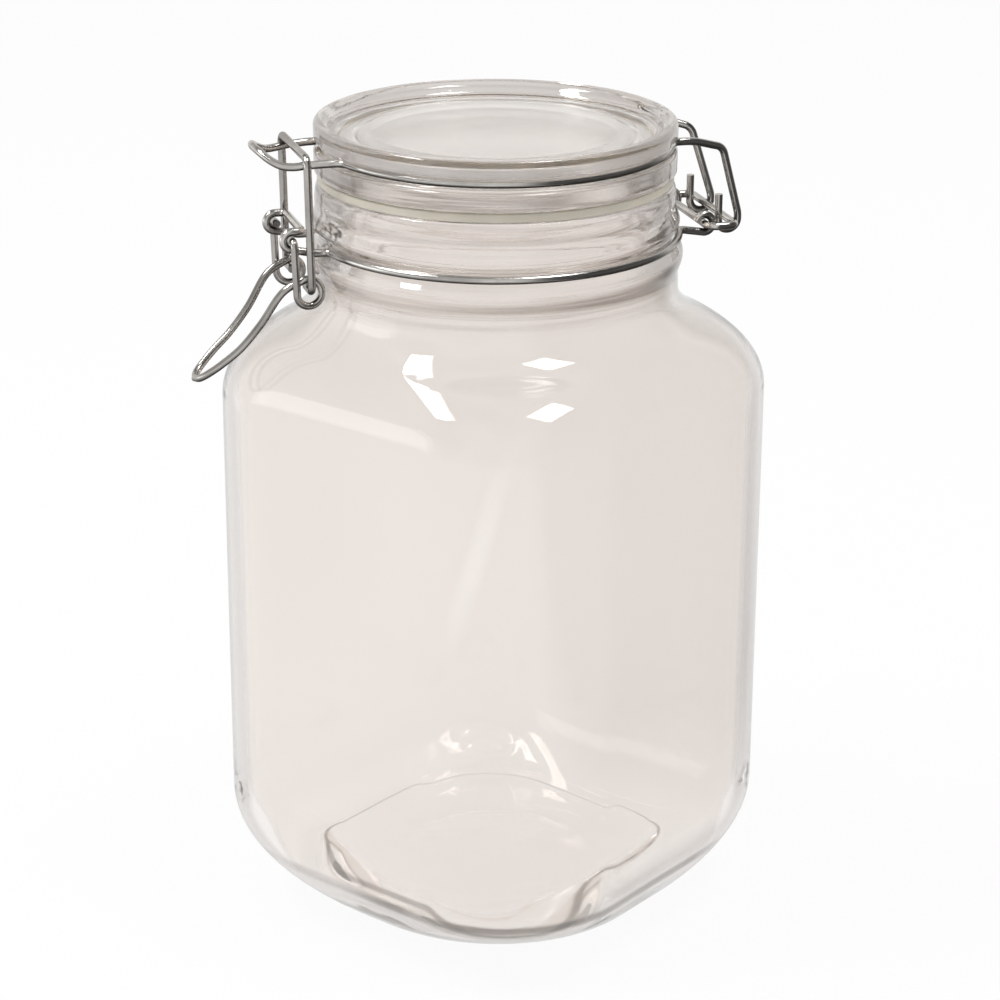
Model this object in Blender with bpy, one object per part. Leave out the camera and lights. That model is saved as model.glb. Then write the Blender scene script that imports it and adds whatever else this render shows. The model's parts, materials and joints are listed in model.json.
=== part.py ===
"""Two-litre clip-top storage jar: glass body, glass lid, rubber gasket and the steel wire closure.

Metres, +Z up. The jar stands on z = 0 with its axis on the Z axis, and its flat sides face the X and Y axes.
The closure is laid out in its own plan: u runs from the jar's axis to the hinge, v lies along the hinge, z is up.
"""

import math

import bmesh
import bpy
from mathutils import Matrix, Vector

MM = 0.001
FULL_TURN = 2 * math.pi
QUARTER_TURN = math.pi / 2

# How the closure is turned against the body, from the X axis to the hinge
CLOSURE_ANGLE = math.radians(55.8)

# Clearances between pieces that touch in use
GASKET_CLEARANCE = 0.3 * MM
WIRE_CLEARANCE = 0.3 * MM
GROOVE_SIDE_CLEARANCE = 0.3 * MM
EYE_CLEARANCE = 0.3 * MM
HAIRPIN_PLAY = 0.05 * MM
HOOK_PLAY = 0.8 * MM
SIDE_BY_SIDE_CLEARANCE = 0.35 * MM
HOOK_SIDE_CLEARANCE = 0.4 * MM
PLUG_CLEARANCE = 0.8 * MM
COIL_CLEARANCE = 0.2 * MM

# Wire
WIRE_RADIUS = 1.05 * MM
LEVER_WIRE_RADIUS = 1.0 * MM
WIRE_SIDES = 8
BEND_STEP = math.radians(30.0)
RING_STEP = math.radians(7.0)
SHORTEST_STEP = 0.05 * MM
STRAIGHT_LIMIT = 1e-6
BEND_CLEAR_SHARE = 0.9

# Neck finish: its radii start from the neck's own, its heights from the collar wire's seat
NECK_RADIUS = 48.0 * MM
COLLAR_HEIGHT = 192.2 * MM
LOWER_NECK_STEP = 0.9 * MM
COLLAR_SEAT_DEPTH = 0.55 * MM
COLLAR_SEAT_HALF = 1.0 * MM
BEAD_STEP = 2.0 * MM
BEAD_DROP = 5.0 * MM
BEAD_HALF = 2.2 * MM
SWELL_STEP = 1.0 * MM
SWELL_RISE = 3.4 * MM
SWELL_HALF = 1.8 * MM
RIM_RISE = 14.0 * MM
RIM_LEDGE = 1.3 * MM
RIM_BREAK = 0.7 * MM
RIM_TAPER_HEIGHT = 3.8 * MM
NECK_WALL = 4.0 * MM
MOUTH_WALL = 6.0 * MM
MOUTH_DEPTH = 12.2 * MM
MOUTH_FLARE_DEPTH = 11.0 * MM
LOWER_NECK_RADIUS = NECK_RADIUS + LOWER_NECK_STEP
COLLAR_SEAT_RADIUS = NECK_RADIUS - COLLAR_SEAT_DEPTH
BEAD_RADIUS = NECK_RADIUS + BEAD_STEP
SWELL_RADIUS = NECK_RADIUS + SWELL_STEP
RIM_FLAT_RADIUS = NECK_RADIUS - RIM_LEDGE
INNER_NECK_RADIUS = NECK_RADIUS - NECK_WALL
MOUTH_RADIUS = NECK_RADIUS - MOUTH_WALL
RIM_HEIGHT = COLLAR_HEIGHT + RIM_RISE
MOUTH_WALL_HEIGHT = RIM_HEIGHT - MOUTH_DEPTH
INNER_NECK_HEIGHT = MOUTH_WALL_HEIGHT - MOUTH_FLARE_DEPTH

# Glass body
BODY_HALF_WIDTH = 62.5 * MM
BODY_CORNER_RADIUS = 35.8 * MM
WALL = 3.8 * MM
HEEL_INSET = 30.0 * MM
HEEL_HEIGHT = 32.8 * MM
HEEL_CORNER_SHARE = 0.73
FLOOR_HEIGHT = 9.5 * MM
FLOOR_CORNER_RADIUS = 20.0 * MM
FLOOR_STEP_WIDTH = 0.8 * MM
FLOOR_STEP_HEIGHT = 0.5 * MM
FLOOR_CROWN = 0.9 * MM
FLOOR_SHARES = (2 / 3, 1 / 3)
INNER_HEEL_INSET = 18.3 * MM
INNER_HEEL_HEIGHT = 30.0 * MM
BODY_SIDES = 48
HEEL_STEPS = 8
WALL_STEPS = 2
SHOULDER_STEPS = 7
FLARE_STEPS = 5

# Shoulder and flare keep their shape as the step from wall to neck grows, and hang down from the neck
SHOULDER_INSET_SHARE = 1.537
SHOULDER_HEIGHT_SHARE = 1.75
SHOULDER_SWEEP = math.radians(54.0)
NECK_STRAIGHT = 4.55 * MM
SHOULDER_STEP = BODY_HALF_WIDTH - LOWER_NECK_RADIUS
SHOULDER_INSET = SHOULDER_INSET_SHARE * SHOULDER_STEP
SHOULDER_HEIGHT = SHOULDER_HEIGHT_SHARE * SHOULDER_STEP
SHOULDER_LEAN = math.atan2(
    SHOULDER_INSET * math.sin(SHOULDER_SWEEP),
    SHOULDER_HEIGHT * math.cos(SHOULDER_SWEEP),
)
FLARE_INSET = SHOULDER_STEP - SHOULDER_INSET * (1 - math.cos(SHOULDER_SWEEP))
FLARE_RADIUS = FLARE_INSET / (1 - math.cos(SHOULDER_LEAN))
NECK_FOOT = COLLAR_HEIGHT - BEAD_DROP - 2 * BEAD_HALF - NECK_STRAIGHT
FLARE_START = NECK_FOOT - FLARE_RADIUS * math.sin(SHOULDER_LEAN)
SHOULDER_START = FLARE_START - SHOULDER_HEIGHT * math.sin(SHOULDER_SWEEP)

# Gasket
GASKET_THICKNESS = 2.4 * MM
GASKET_OVERLAP = 0.8 * MM
GASKET_EDGE_BREAK = 0.5 * MM
GASKET_BOTTOM = RIM_HEIGHT + GASKET_CLEARANCE
GASKET_TOP = GASKET_BOTTOM + GASKET_THICKNESS
GASKET_OUTER_RADIUS = NECK_RADIUS - GASKET_OVERLAP

# Lid: as wide as the neck, with its heights above the gasket
LID_RADIUS = NECK_RADIUS
LID_RING_RISE = 7.1 * MM
LID_CROWN_RISE = 6.2 * MM
LID_GROOVE_DEPTH = 3.1 * MM
LID_EDGE_BREAK = 0.8 * MM
LID_RIM_WIDTH = 3.4 * MM
LID_RIM_ROUND = 1.4 * MM
LID_WELL_SLOPE = 2.3 * MM
LID_WELL_DEPTH = 3.6 * MM
LID_PANEL_MARGIN = 9.0 * MM
LID_PANEL_RISE = 0.9 * MM
LID_PANEL_RAMP = 4.3 * MM
LID_THICKNESS = 4.6 * MM
PLUG_DEPTH = 5.8 * MM
PLUG_TAPER = 1.7 * MM
PLUG_TAPER_HEIGHT = 3.0 * MM
PLUG_WALL = 3.4 * MM
PLUG_TIP_WALL = 1.6 * MM
LID_SIDES = 52
LID_SEAT = GASKET_TOP + GASKET_CLEARANCE
LID_RING_HEIGHT = LID_SEAT + LID_RING_RISE
LID_TOP = LID_RING_HEIGHT + LID_CROWN_RISE
LID_GROOVE_RADIUS = LID_RADIUS - LID_GROOVE_DEPTH
LID_WELL_RADIUS = LID_RADIUS - LID_RIM_WIDTH - LID_WELL_SLOPE
LID_PANEL_RADIUS = LID_WELL_RADIUS - LID_PANEL_MARGIN
PLUG_RADIUS = MOUTH_RADIUS - PLUG_CLEARANCE
GASKET_INNER_RADIUS = PLUG_RADIUS + WIRE_CLEARANCE

# The two wire rings in their seats
LID_RING_RADIUS = LID_GROOVE_RADIUS + WIRE_CLEARANCE + WIRE_RADIUS
COLLAR_RING_RADIUS = COLLAR_SEAT_RADIUS + WIRE_CLEARANCE + WIRE_RADIUS

# Half spacings of the wires on each side of the closure's middle plane
CRANK_V = 12.2 * MM
PIN_OVERRUN = 1.05 * MM
FOOT_OVERRUN = 0.7 * MM
EYE_PITCH = 2 * LEVER_WIRE_RADIUS + COIL_CLEARANCE
ARM_V = CRANK_V - EYE_PITCH
BAIL_V = CRANK_V + LEVER_WIRE_RADIUS + SIDE_BY_SIDE_CLEARANCE + WIRE_RADIUS
COLLAR_EYE_V = CRANK_V - LEVER_WIRE_RADIUS - SIDE_BY_SIDE_CLEARANCE - WIRE_RADIUS
LEVER_PIN_END = COLLAR_EYE_V - WIRE_RADIUS - PIN_OVERRUN
BAIL_FOOT_END = ARM_V - LEVER_WIRE_RADIUS - FOOT_OVERRUN

# Lever and bail: the pivot lies outside the collar, and the crank hangs from it, turned past the centre
PIVOT_REACH = 8.8 * MM
PIVOT_RISE = 3.8 * MM
CRANK_LENGTH = 13.4 * MM
OVER_CENTRE_ANGLE = math.radians(17.0)
BAIL_BEND_RADIUS = 2.5 * MM
BAIL_FOOT_BEND = 1.8 * MM
LEVER_EYE_RADIUS = 3.4 * MM
LEVER_PIN_BEND = 1.6 * MM
ARM_LEAVE_ANGLE = math.radians(105.0)
PIVOT_U = -COLLAR_RING_RADIUS - PIVOT_REACH
PIVOT_Z = COLLAR_HEIGHT + PIVOT_RISE
BAIL_FOOT_U = PIVOT_U + CRANK_LENGTH * math.sin(OVER_CENTRE_ANGLE)
BAIL_FOOT_Z = PIVOT_Z - CRANK_LENGTH * math.cos(OVER_CENTRE_ANGLE)
LEVER_EYE_PLAY = LEVER_EYE_RADIUS - LEVER_WIRE_RADIUS - WIRE_RADIUS - EYE_CLEARANCE
LEVER_EYE_U = BAIL_FOOT_U
LEVER_EYE_Z = BAIL_FOOT_Z - LEVER_EYE_PLAY

# Handle, from the lever eye to the tip: reach and drop from the eye, half width as a share of the arms'
HANDLE_REACHES = (6.7 * MM, 12.1 * MM, 17.3 * MM, 21.9 * MM, 25.3 * MM, 27.6 * MM, 28.4 * MM)
HANDLE_WIDTH_SHARES = (0.93, 0.81, 0.74, 0.63, 0.46, 0.26, 0.0)
HANDLE_DROPS = (0.0 * MM, 8.1 * MM, 14.4 * MM, 18.5 * MM, 21.4 * MM, 23.3 * MM, 24.0 * MM)
HANDLE_POINTS = tuple(
    (LEVER_EYE_U - reach, ARM_V * share, LEVER_EYE_Z - drop)
    for reach, share, drop in zip(HANDLE_REACHES, HANDLE_WIDTH_SHARES, HANDLE_DROPS)
)

# Nose of the lid wire: reach beyond the ring, half width as a share of the bail's, rise above the ring
NOSE_REACHES = (1.95 * MM, 4.95 * MM, 8.15 * MM, 11.05 * MM, 13.75 * MM, 16.25 * MM, 18.15 * MM, 18.95 * MM)
NOSE_WIDTH_SHARES = (0.849, 0.829, 0.801, 0.753, 0.664, 0.521, 0.315, 0.0)
NOSE_RISES = (0.0 * MM, -0.1 * MM, -0.3 * MM, -0.6 * MM, -0.4 * MM, 0.8 * MM, 2.3 * MM, 2.9 * MM)
NOSE_POINTS = tuple(
    (-LID_RING_RADIUS - reach, BAIL_V * share, LID_RING_HEIGHT + rise)
    for reach, share, rise in zip(NOSE_REACHES, NOSE_WIDTH_SHARES, NOSE_RISES)
)
NOSE_SEAT = NOSE_POINTS[2]
NOSE_EXIT_SHARE = 0.863
NOSE_EXIT_V = BAIL_V * NOSE_EXIT_SHARE
RING_EXIT_BEND = 4.0 * MM
BAIL_BAR_U = NOSE_SEAT[0]
BAIL_BAR_Z = NOSE_SEAT[2] + 2 * WIRE_RADIUS + WIRE_CLEARANCE

# Collar wire
COLLAR_STRAND_REACH = 2.7 * MM
COLLAR_EXIT_BEND = 3.0 * MM
CROSSBAR_SET_BACK = 2.7 * MM
CROSSBAR_BEND = 1.7 * MM
REAR_EYE_END = math.radians(155.0)
COLLAR_EYE_RADIUS = WIRE_RADIUS + EYE_CLEARANCE + LEVER_WIRE_RADIUS + HAIRPIN_PLAY
COLLAR_STRAND_U = -COLLAR_RING_RADIUS - COLLAR_STRAND_REACH
CROSSBAR_U = PIVOT_U + CROSSBAR_SET_BACK
CROSSBAR_Z = PIVOT_Z + COLLAR_EYE_RADIUS
REAR_EYE_RADIUS = 2 * WIRE_RADIUS + EYE_CLEARANCE

# Hinge bracket and the hooks of the lid wire
HINGE_REACH = 13.25 * MM
HINGE_RISE = 1.1 * MM
BRACKET_DEPTH = 7.85 * MM
BRACKET_BEND = 2.6 * MM
BRACKET_SIDE_ROOM = 0.25 * MM
HOOK_BEND_SHARE = 0.98
HOOK_LEG_V = 10.2 * MM
HOOK_SPLAY = 0.7 * MM
HOOK_PIN_RISE = 6.9 * MM
LEG_START_RISE = 1.5 * MM
LEG_EXIT_V = 14.4 * MM
LEG_EXIT_REACH = 3.75 * MM
LEG_TOP_LEAN = 2.65 * MM
LEG_TOP_V = 12.0 * MM
LEG_TOP_DROP = 2.8 * MM
LEG_BEND = 3.6 * MM
HINGE_U = COLLAR_RING_RADIUS + HINGE_REACH
HINGE_Z = COLLAR_HEIGHT + HINGE_RISE
HOOK_RADIUS = 2 * WIRE_RADIUS + HOOK_PLAY
HOOK_BEND = HOOK_RADIUS * HOOK_BEND_SHARE
HOOK_PIN_V = HOOK_LEG_V + HOOK_SPLAY
HOOK_PIN_TOP = HINGE_Z + HOOK_PIN_RISE
REAR_EYE_V = HOOK_PIN_V + 2 * WIRE_RADIUS + HOOK_SIDE_CLEARANCE
BRACKET_INNER_U = HINGE_U - BRACKET_DEPTH
BRACKET_HALF_WIDTH = REAR_EYE_V + WIRE_RADIUS + BRACKET_BEND + BRACKET_SIDE_ROOM
LEG_EXIT_U = LID_RING_RADIUS + LEG_EXIT_REACH
LEG_TOP_U = HINGE_U - LEG_TOP_LEAN
LEG_TOP_Z = LID_RING_HEIGHT - LEG_TOP_DROP

# Colours are linear RGBA
GLASS_COLOUR = (0.80, 0.77, 0.74, 1.0)
LID_COLOUR = (0.78, 0.75, 0.72, 1.0)
GASKET_COLOUR = (0.70, 0.66, 0.52, 1.0)
STEEL_COLOUR = (0.62, 0.61, 0.60, 1.0)
DARK_STEEL_COLOUR = (0.52, 0.52, 0.52, 1.0)


def clear_scene():
    for old in list(bpy.data.objects):
        bpy.data.objects.remove(old, do_unlink=True)


def make_material(name, colour, roughness, metallic):
    made = bpy.data.materials.new(name)
    made.use_nodes = True
    shader = made.node_tree.nodes["Principled BSDF"]
    shader.inputs["Base Color"].default_value = colour
    shader.inputs["Roughness"].default_value = roughness
    shader.inputs["Metallic"].default_value = metallic
    made.diffuse_color = colour
    return made


def plan_to_world(u, v, z):
    """A point of the closure's own plan, in the jar's frame."""
    turn = Matrix.Rotation(CLOSURE_ANGLE, 3, "Z")
    return turn @ Vector((u, v, z))


def finish_object(name, mesh_data, material, origin, smooth_angle):
    """An object whose origin is at the given point, with outward faces and smooth shading."""
    mesh_data.transform(Matrix.Translation(-origin))
    mesh = bpy.data.meshes.new(name)
    bmesh.ops.recalc_face_normals(mesh_data, faces=mesh_data.faces)
    mesh_data.to_mesh(mesh)
    mesh_data.free()
    mesh.materials.append(material)
    for face in mesh.polygons:
        face.use_smooth = True
    mesh.set_sharp_from_angle(angle=smooth_angle)
    made = bpy.data.objects.new(name, mesh)
    made.location = origin
    bpy.context.scene.collection.objects.link(made)
    return made


def square_reach(angle, half_width, corner_radius):
    """How far a rounded square reaches from its centre at an angle."""
    folded = abs((angle + QUARTER_TURN / 2) % QUARTER_TURN - QUARTER_TURN / 2)
    straight = half_width - corner_radius
    if half_width * math.tan(folded) <= straight:
        return half_width / math.cos(folded)
    along = straight * (math.cos(folded) + math.sin(folded))
    return along + math.sqrt(max(along**2 - 2 * straight**2 + corner_radius**2, 0.0))


def shoulder_corner_radius(half_width):
    """The corners open out evenly above the walls until the section is the neck's circle."""
    share = (BODY_HALF_WIDTH - half_width) / SHOULDER_STEP
    radius = BODY_CORNER_RADIUS + share * (LOWER_NECK_RADIUS - BODY_CORNER_RADIUS)
    return min(radius, half_width)


def heel_corner_radius(half_width):
    """The corners open out below the walls too, until the foot is a circle."""
    radius = BODY_CORNER_RADIUS + HEEL_CORNER_SHARE * (BODY_HALF_WIDTH - half_width)
    return min(radius, half_width)


def heel_sections():
    """The outside of the body from the foot to the top of the wall, as half width, corner radius, height."""
    rows = []
    for step in range(HEEL_STEPS + 1):
        angle = QUARTER_TURN * step / HEEL_STEPS
        half_width = BODY_HALF_WIDTH - HEEL_INSET * (1 - math.sin(angle))
        rows.append((half_width, heel_corner_radius(half_width), HEEL_HEIGHT * (1 - math.cos(angle))))
    for step in range(1, WALL_STEPS):
        share = step / WALL_STEPS
        rows.append((BODY_HALF_WIDTH, BODY_CORNER_RADIUS, HEEL_HEIGHT + share * (SHOULDER_START - HEEL_HEIGHT)))
    return rows


def shoulder_profile():
    """The outside of the body from the top of the wall to the neck, as half width and height."""
    rows = []
    for step in range(SHOULDER_STEPS + 1):
        angle = SHOULDER_SWEEP * step / SHOULDER_STEPS
        inset = SHOULDER_INSET * (1 - math.cos(angle))
        rows.append((BODY_HALF_WIDTH - inset, SHOULDER_START + SHOULDER_HEIGHT * math.sin(angle)))
    for step in range(1, FLARE_STEPS + 1):
        angle = SHOULDER_LEAN * (1 - step / FLARE_STEPS)
        half_width = LOWER_NECK_RADIUS + FLARE_RADIUS * (1 - math.cos(angle))
        rows.append((half_width, NECK_FOOT - FLARE_RADIUS * math.sin(angle)))
    return rows


def inset_profile(rows, distance):
    """A profile moved inwards at right angles to itself, from its first row to its last."""
    moved = []
    for index, (half_width, height) in enumerate(rows):
        before = rows[max(index - 1, 0)]
        after = rows[min(index + 1, len(rows) - 1)]
        run = Vector((after[0] - before[0], after[1] - before[1])).normalized()
        moved.append((half_width - distance * run.y, height + distance * run.x))
    return moved


def neck_profile():
    """The outside of the neck above the flare: collar seat between bead and swell, then the rim."""
    bead = COLLAR_HEIGHT - BEAD_DROP
    swell = COLLAR_HEIGHT + SWELL_RISE
    lip = (COLLAR_SEAT_RADIUS + SWELL_RADIUS) / 2
    return [
        (LOWER_NECK_RADIUS, bead - 2 * BEAD_HALF),
        ((LOWER_NECK_RADIUS + BEAD_RADIUS) / 2, bead - BEAD_HALF - BEAD_HALF / 3),
        (BEAD_RADIUS, bead - BEAD_HALF / 2),
        (BEAD_RADIUS, bead + BEAD_HALF / 2),
        ((COLLAR_SEAT_RADIUS + 2 * BEAD_RADIUS) / 3, bead + BEAD_HALF),
        (COLLAR_SEAT_RADIUS, COLLAR_HEIGHT - COLLAR_SEAT_HALF),
        (COLLAR_SEAT_RADIUS, COLLAR_HEIGHT + COLLAR_SEAT_HALF),
        (lip, swell - SWELL_HALF),
        (SWELL_RADIUS, swell - SWELL_HALF / 3),
        (SWELL_RADIUS, swell + SWELL_HALF / 3),
        (NECK_RADIUS, swell + 2 * SWELL_HALF),
        (NECK_RADIUS, RIM_HEIGHT - RIM_TAPER_HEIGHT),
        (NECK_RADIUS - RIM_BREAK / 2, RIM_HEIGHT - 2 * RIM_BREAK),
        (RIM_FLAT_RADIUS + RIM_BREAK, RIM_HEIGHT - RIM_BREAK / 2),
        (RIM_FLAT_RADIUS, RIM_HEIGHT),
        (MOUTH_RADIUS + RIM_BREAK, RIM_HEIGHT),
        (MOUTH_RADIUS + RIM_BREAK / 4, RIM_HEIGHT - RIM_BREAK / 3),
        (MOUTH_RADIUS, RIM_HEIGHT - RIM_BREAK),
        (MOUTH_RADIUS, MOUTH_WALL_HEIGHT),
        (INNER_NECK_RADIUS, INNER_NECK_HEIGHT),
    ]


def inside_sections(shoulder):
    """The inside of the body from the neck down to the floor, as half width, corner radius, height."""
    rows = []
    for half_width, height in reversed(inset_profile(shoulder, WALL)):
        if SHOULDER_START < height < INNER_NECK_HEIGHT - WALL:
            rows.append((half_width, min(shoulder_corner_radius(half_width + WALL) - WALL, half_width), height))
    inner_half = BODY_HALF_WIDTH - WALL
    inner_corner = BODY_CORNER_RADIUS - WALL
    rows.append((inner_half, inner_corner, SHOULDER_START))
    heel_top = FLOOR_HEIGHT + INNER_HEEL_HEIGHT
    for step in range(1, WALL_STEPS):
        share = 1 - step / WALL_STEPS
        rows.append((inner_half, inner_corner, heel_top + share * (SHOULDER_START - heel_top)))
    for step in range(HEEL_STEPS + 1):
        angle = QUARTER_TURN * (1 - step / HEEL_STEPS)
        share = 1 - math.sin(angle)
        corner_radius = inner_corner + share * (FLOOR_CORNER_RADIUS - inner_corner)
        height = FLOOR_HEIGHT + INNER_HEEL_HEIGHT * (1 - math.cos(angle))
        rows.append((inner_half - INNER_HEEL_INSET * share, corner_radius, height))
    return rows


def floor_sections(half_width):
    """The floor's pad, which stands a little above its edge and is crowned in the middle."""
    pad_half = half_width - FLOOR_STEP_WIDTH
    pad_corner = FLOOR_CORNER_RADIUS - FLOOR_STEP_WIDTH
    pad_height = FLOOR_HEIGHT + FLOOR_STEP_HEIGHT
    rows = [(pad_half, pad_corner, pad_height)]
    for share in FLOOR_SHARES:
        height = pad_height + FLOOR_CROWN * (1 - share**2)
        rows.append((pad_half * share, pad_corner * share, height))
    return rows


def section_points(half_width, corner_radius, height):
    points = []
    for step in range(BODY_SIDES):
        angle = FULL_TURN * step / BODY_SIDES
        reach = square_reach(angle, half_width, corner_radius)
        points.append(Vector((reach * math.cos(angle), reach * math.sin(angle), height)))
    return points


def build_jar_body(material):
    """One loft: up the outside, over the rim, and down the inside to the floor."""
    shoulder = shoulder_profile()
    rows = heel_sections()
    for half_width, height in shoulder:
        rows.append((half_width, shoulder_corner_radius(half_width), height))
    for radius, height in neck_profile():
        rows.append((radius, radius, height))
    rows += inside_sections(shoulder)
    rows += floor_sections(rows[-1][0])
    sections = [section_points(half_width, corner_radius, height) for half_width, corner_radius, height in rows]
    loft = bmesh.new()
    rings = [[loft.verts.new(point) for point in section] for section in sections]
    for lower, upper in zip(rings, rings[1:]):
        for step in range(BODY_SIDES):
            after = (step + 1) % BODY_SIDES
            loft.faces.new((lower[step], lower[after], upper[after], upper[step]))
    loft.faces.new(list(reversed(rings[0])))
    crown = loft.verts.new((0.0, 0.0, FLOOR_HEIGHT + FLOOR_STEP_HEIGHT + FLOOR_CROWN))
    for step in range(BODY_SIDES):
        loft.faces.new((rings[-1][step], rings[-1][(step + 1) % BODY_SIDES], crown))
    return finish_object("jar_body", loft, material, Vector((0, 0, 0)), math.radians(50))


def revolve(name, profile, sides, material, origin, smooth_angle):
    """A closed or axis-ended profile of radius and height, turned about the jar's axis by a Screw."""
    mesh = bpy.data.meshes.new(name)
    vertices = [(radius, 0.0, height) for radius, height in profile]
    edges = [(index, index + 1) for index in range(len(vertices) - 1)]
    if profile[0][0] > 0:
        edges.append((len(vertices) - 1, 0))
    mesh.from_pydata(vertices, edges, [])
    turned = bpy.data.objects.new(name, mesh)
    bpy.context.scene.collection.objects.link(turned)
    screw = turned.modifiers.new("turn", "SCREW")
    screw.axis = "Z"
    screw.angle = FULL_TURN
    screw.steps = sides
    screw.render_steps = sides
    screw.use_merge_vertices = True
    screw.merge_threshold = 0.01 * MM
    depsgraph = bpy.context.evaluated_depsgraph_get()
    solid = bmesh.new()
    solid.from_object(turned, depsgraph)
    bmesh.ops.remove_doubles(solid, verts=solid.verts, dist=0.001 * MM)
    bpy.data.objects.remove(turned, do_unlink=True)
    return finish_object(name, solid, material, origin, smooth_angle)


def build_lid(material, hinge):
    groove_half = WIRE_RADIUS + GROOVE_SIDE_CLEARANCE
    groove_low = LID_RING_HEIGHT - groove_half
    groove_high = LID_RING_HEIGHT + groove_half
    well = LID_TOP - LID_WELL_DEPTH
    panel = well + LID_PANEL_RISE
    ceiling = well - LID_THICKNESS
    plug_bottom = LID_SEAT - PLUG_DEPTH
    rim_inner = LID_RADIUS - LID_RIM_WIDTH
    rim_rise = LID_TOP - LID_RIM_ROUND
    plug_inner = PLUG_RADIUS - PLUG_WALL
    plug_tip = PLUG_RADIUS - PLUG_TAPER
    profile = [
        (0.0, ceiling + LID_PANEL_RISE / 2),
        (plug_inner - 3 * LID_EDGE_BREAK, ceiling),
        (plug_inner - LID_EDGE_BREAK, ceiling - LID_EDGE_BREAK),
        (plug_inner, ceiling - 3 * LID_EDGE_BREAK),
        (plug_tip - PLUG_TIP_WALL, plug_bottom),
        (plug_tip, plug_bottom),
        (PLUG_RADIUS, plug_bottom + PLUG_TAPER_HEIGHT),
        (PLUG_RADIUS, LID_SEAT),
        (LID_RADIUS - LID_EDGE_BREAK, LID_SEAT),
        (LID_RADIUS - LID_EDGE_BREAK / 4, LID_SEAT + LID_EDGE_BREAK / 4),
        (LID_RADIUS, LID_SEAT + LID_EDGE_BREAK),
        (LID_RADIUS, groove_low - LID_EDGE_BREAK),
        (LID_RADIUS - LID_EDGE_BREAK / 4, groove_low - LID_EDGE_BREAK / 4),
        (LID_RADIUS - LID_EDGE_BREAK, groove_low),
        (LID_GROOVE_RADIUS + LID_EDGE_BREAK / 4, groove_low),
        (LID_GROOVE_RADIUS, groove_low + LID_EDGE_BREAK / 2),
        (LID_GROOVE_RADIUS, groove_high - LID_EDGE_BREAK / 2),
        (LID_GROOVE_RADIUS + LID_EDGE_BREAK / 4, groove_high),
        (LID_RADIUS - LID_EDGE_BREAK, groove_high),
        (LID_RADIUS - LID_EDGE_BREAK / 4, groove_high + LID_EDGE_BREAK / 4),
        (LID_RADIUS, groove_high + LID_EDGE_BREAK),
        (LID_RADIUS, rim_rise),
    ]
    for step in range(1, 6):
        angle = math.pi * step / 6
        middle = (LID_RADIUS + rim_inner) / 2
        reach = (LID_RADIUS - rim_inner) / 2
        profile.append((middle + reach * math.cos(angle), rim_rise + LID_RIM_ROUND * math.sin(angle)))
    profile += [
        (rim_inner, rim_rise),
        (LID_WELL_RADIUS, well + LID_EDGE_BREAK / 2),
        (LID_WELL_RADIUS - LID_EDGE_BREAK, well),
        (LID_PANEL_RADIUS + LID_PANEL_RAMP, well),
        (LID_PANEL_RADIUS, panel),
        (0.0, panel),
    ]
    return revolve("lid", profile, LID_SIDES, material, hinge, math.radians(40))


def build_gasket(material, hinge):
    inner = GASKET_INNER_RADIUS
    outer = GASKET_OUTER_RADIUS
    profile = [
        (inner, GASKET_BOTTOM),
        (outer - GASKET_EDGE_BREAK, GASKET_BOTTOM),
        (outer, GASKET_BOTTOM + GASKET_EDGE_BREAK),
        (outer, GASKET_TOP - GASKET_EDGE_BREAK),
        (outer - GASKET_EDGE_BREAK, GASKET_TOP),
        (inner, GASKET_TOP),
    ]
    return revolve("gasket", profile, BODY_SIDES, material, hinge, math.radians(30))


def bend_corners(corners, closed=False):
    """A path through corner points, each given with its bend radius, as points along it."""
    count = len(corners)
    path = []
    for index, (corner, bend) in enumerate(corners):
        here = Vector(corner)
        if not closed and index in (0, count - 1):
            path.append(here)
            continue
        before = (Vector(corners[index - 1][0]) - here).normalized()
        after = (Vector(corners[(index + 1) % count][0]) - here).normalized()
        turn = math.pi - before.angle(after)
        if bend <= 0 or turn < BEND_STEP / 4:
            path.append(here)
            continue
        tangent = bend * math.tan(turn / 2)
        centre = here + (before + after).normalized() * (bend / math.cos(turn / 2))
        start = here + before * tangent - centre
        side = -before
        steps = max(1, math.ceil(turn / BEND_STEP))
        for step in range(steps + 1):
            angle = turn * step / steps
            path.append(centre + start * math.cos(angle) + side * bend * math.sin(angle))
    return path


def smooth_curve(points, steps):
    """A curve through every point, with the given number of steps between two points."""
    knots = [Vector(point) for point in points]
    knots = [2 * knots[0] - knots[1]] + knots + [2 * knots[-1] - knots[-2]]
    curve = []
    for index in range(1, len(knots) - 2):
        before, start, end, after = knots[index - 1 : index + 3]
        for step in range(steps):
            t = step / steps
            curve.append(
                0.5
                * (
                    2 * start
                    + (end - before) * t
                    + (2 * before - 5 * start + 4 * end - after) * t**2
                    + (3 * start - before - 3 * end + after) * t**3
                )
            )
    curve.append(knots[-2])
    return curve


def ring_arc(radius, height, start, end):
    """Points of a level arc about the jar's axis, both ends included, as u, v and z."""
    steps = max(1, round(abs(end - start) / RING_STEP))
    return [
        Vector(
            (
                radius * math.cos(start + (end - start) * step / steps),
                radius * math.sin(start + (end - start) * step / steps),
                height,
            )
        )
        for step in range(steps + 1)
    ]


def mirrored(path):
    """The other half of a path that is its own mirror image about the closure's middle plane."""
    return [Vector((point.x, -point.y, point.z)) for point in reversed(path)]


def without_repeats(path):
    kept = [path[0]]
    for point in path[1:]:
        if (point - kept[-1]).length > SHORTEST_STEP:
            kept.append(point)
    return kept


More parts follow.
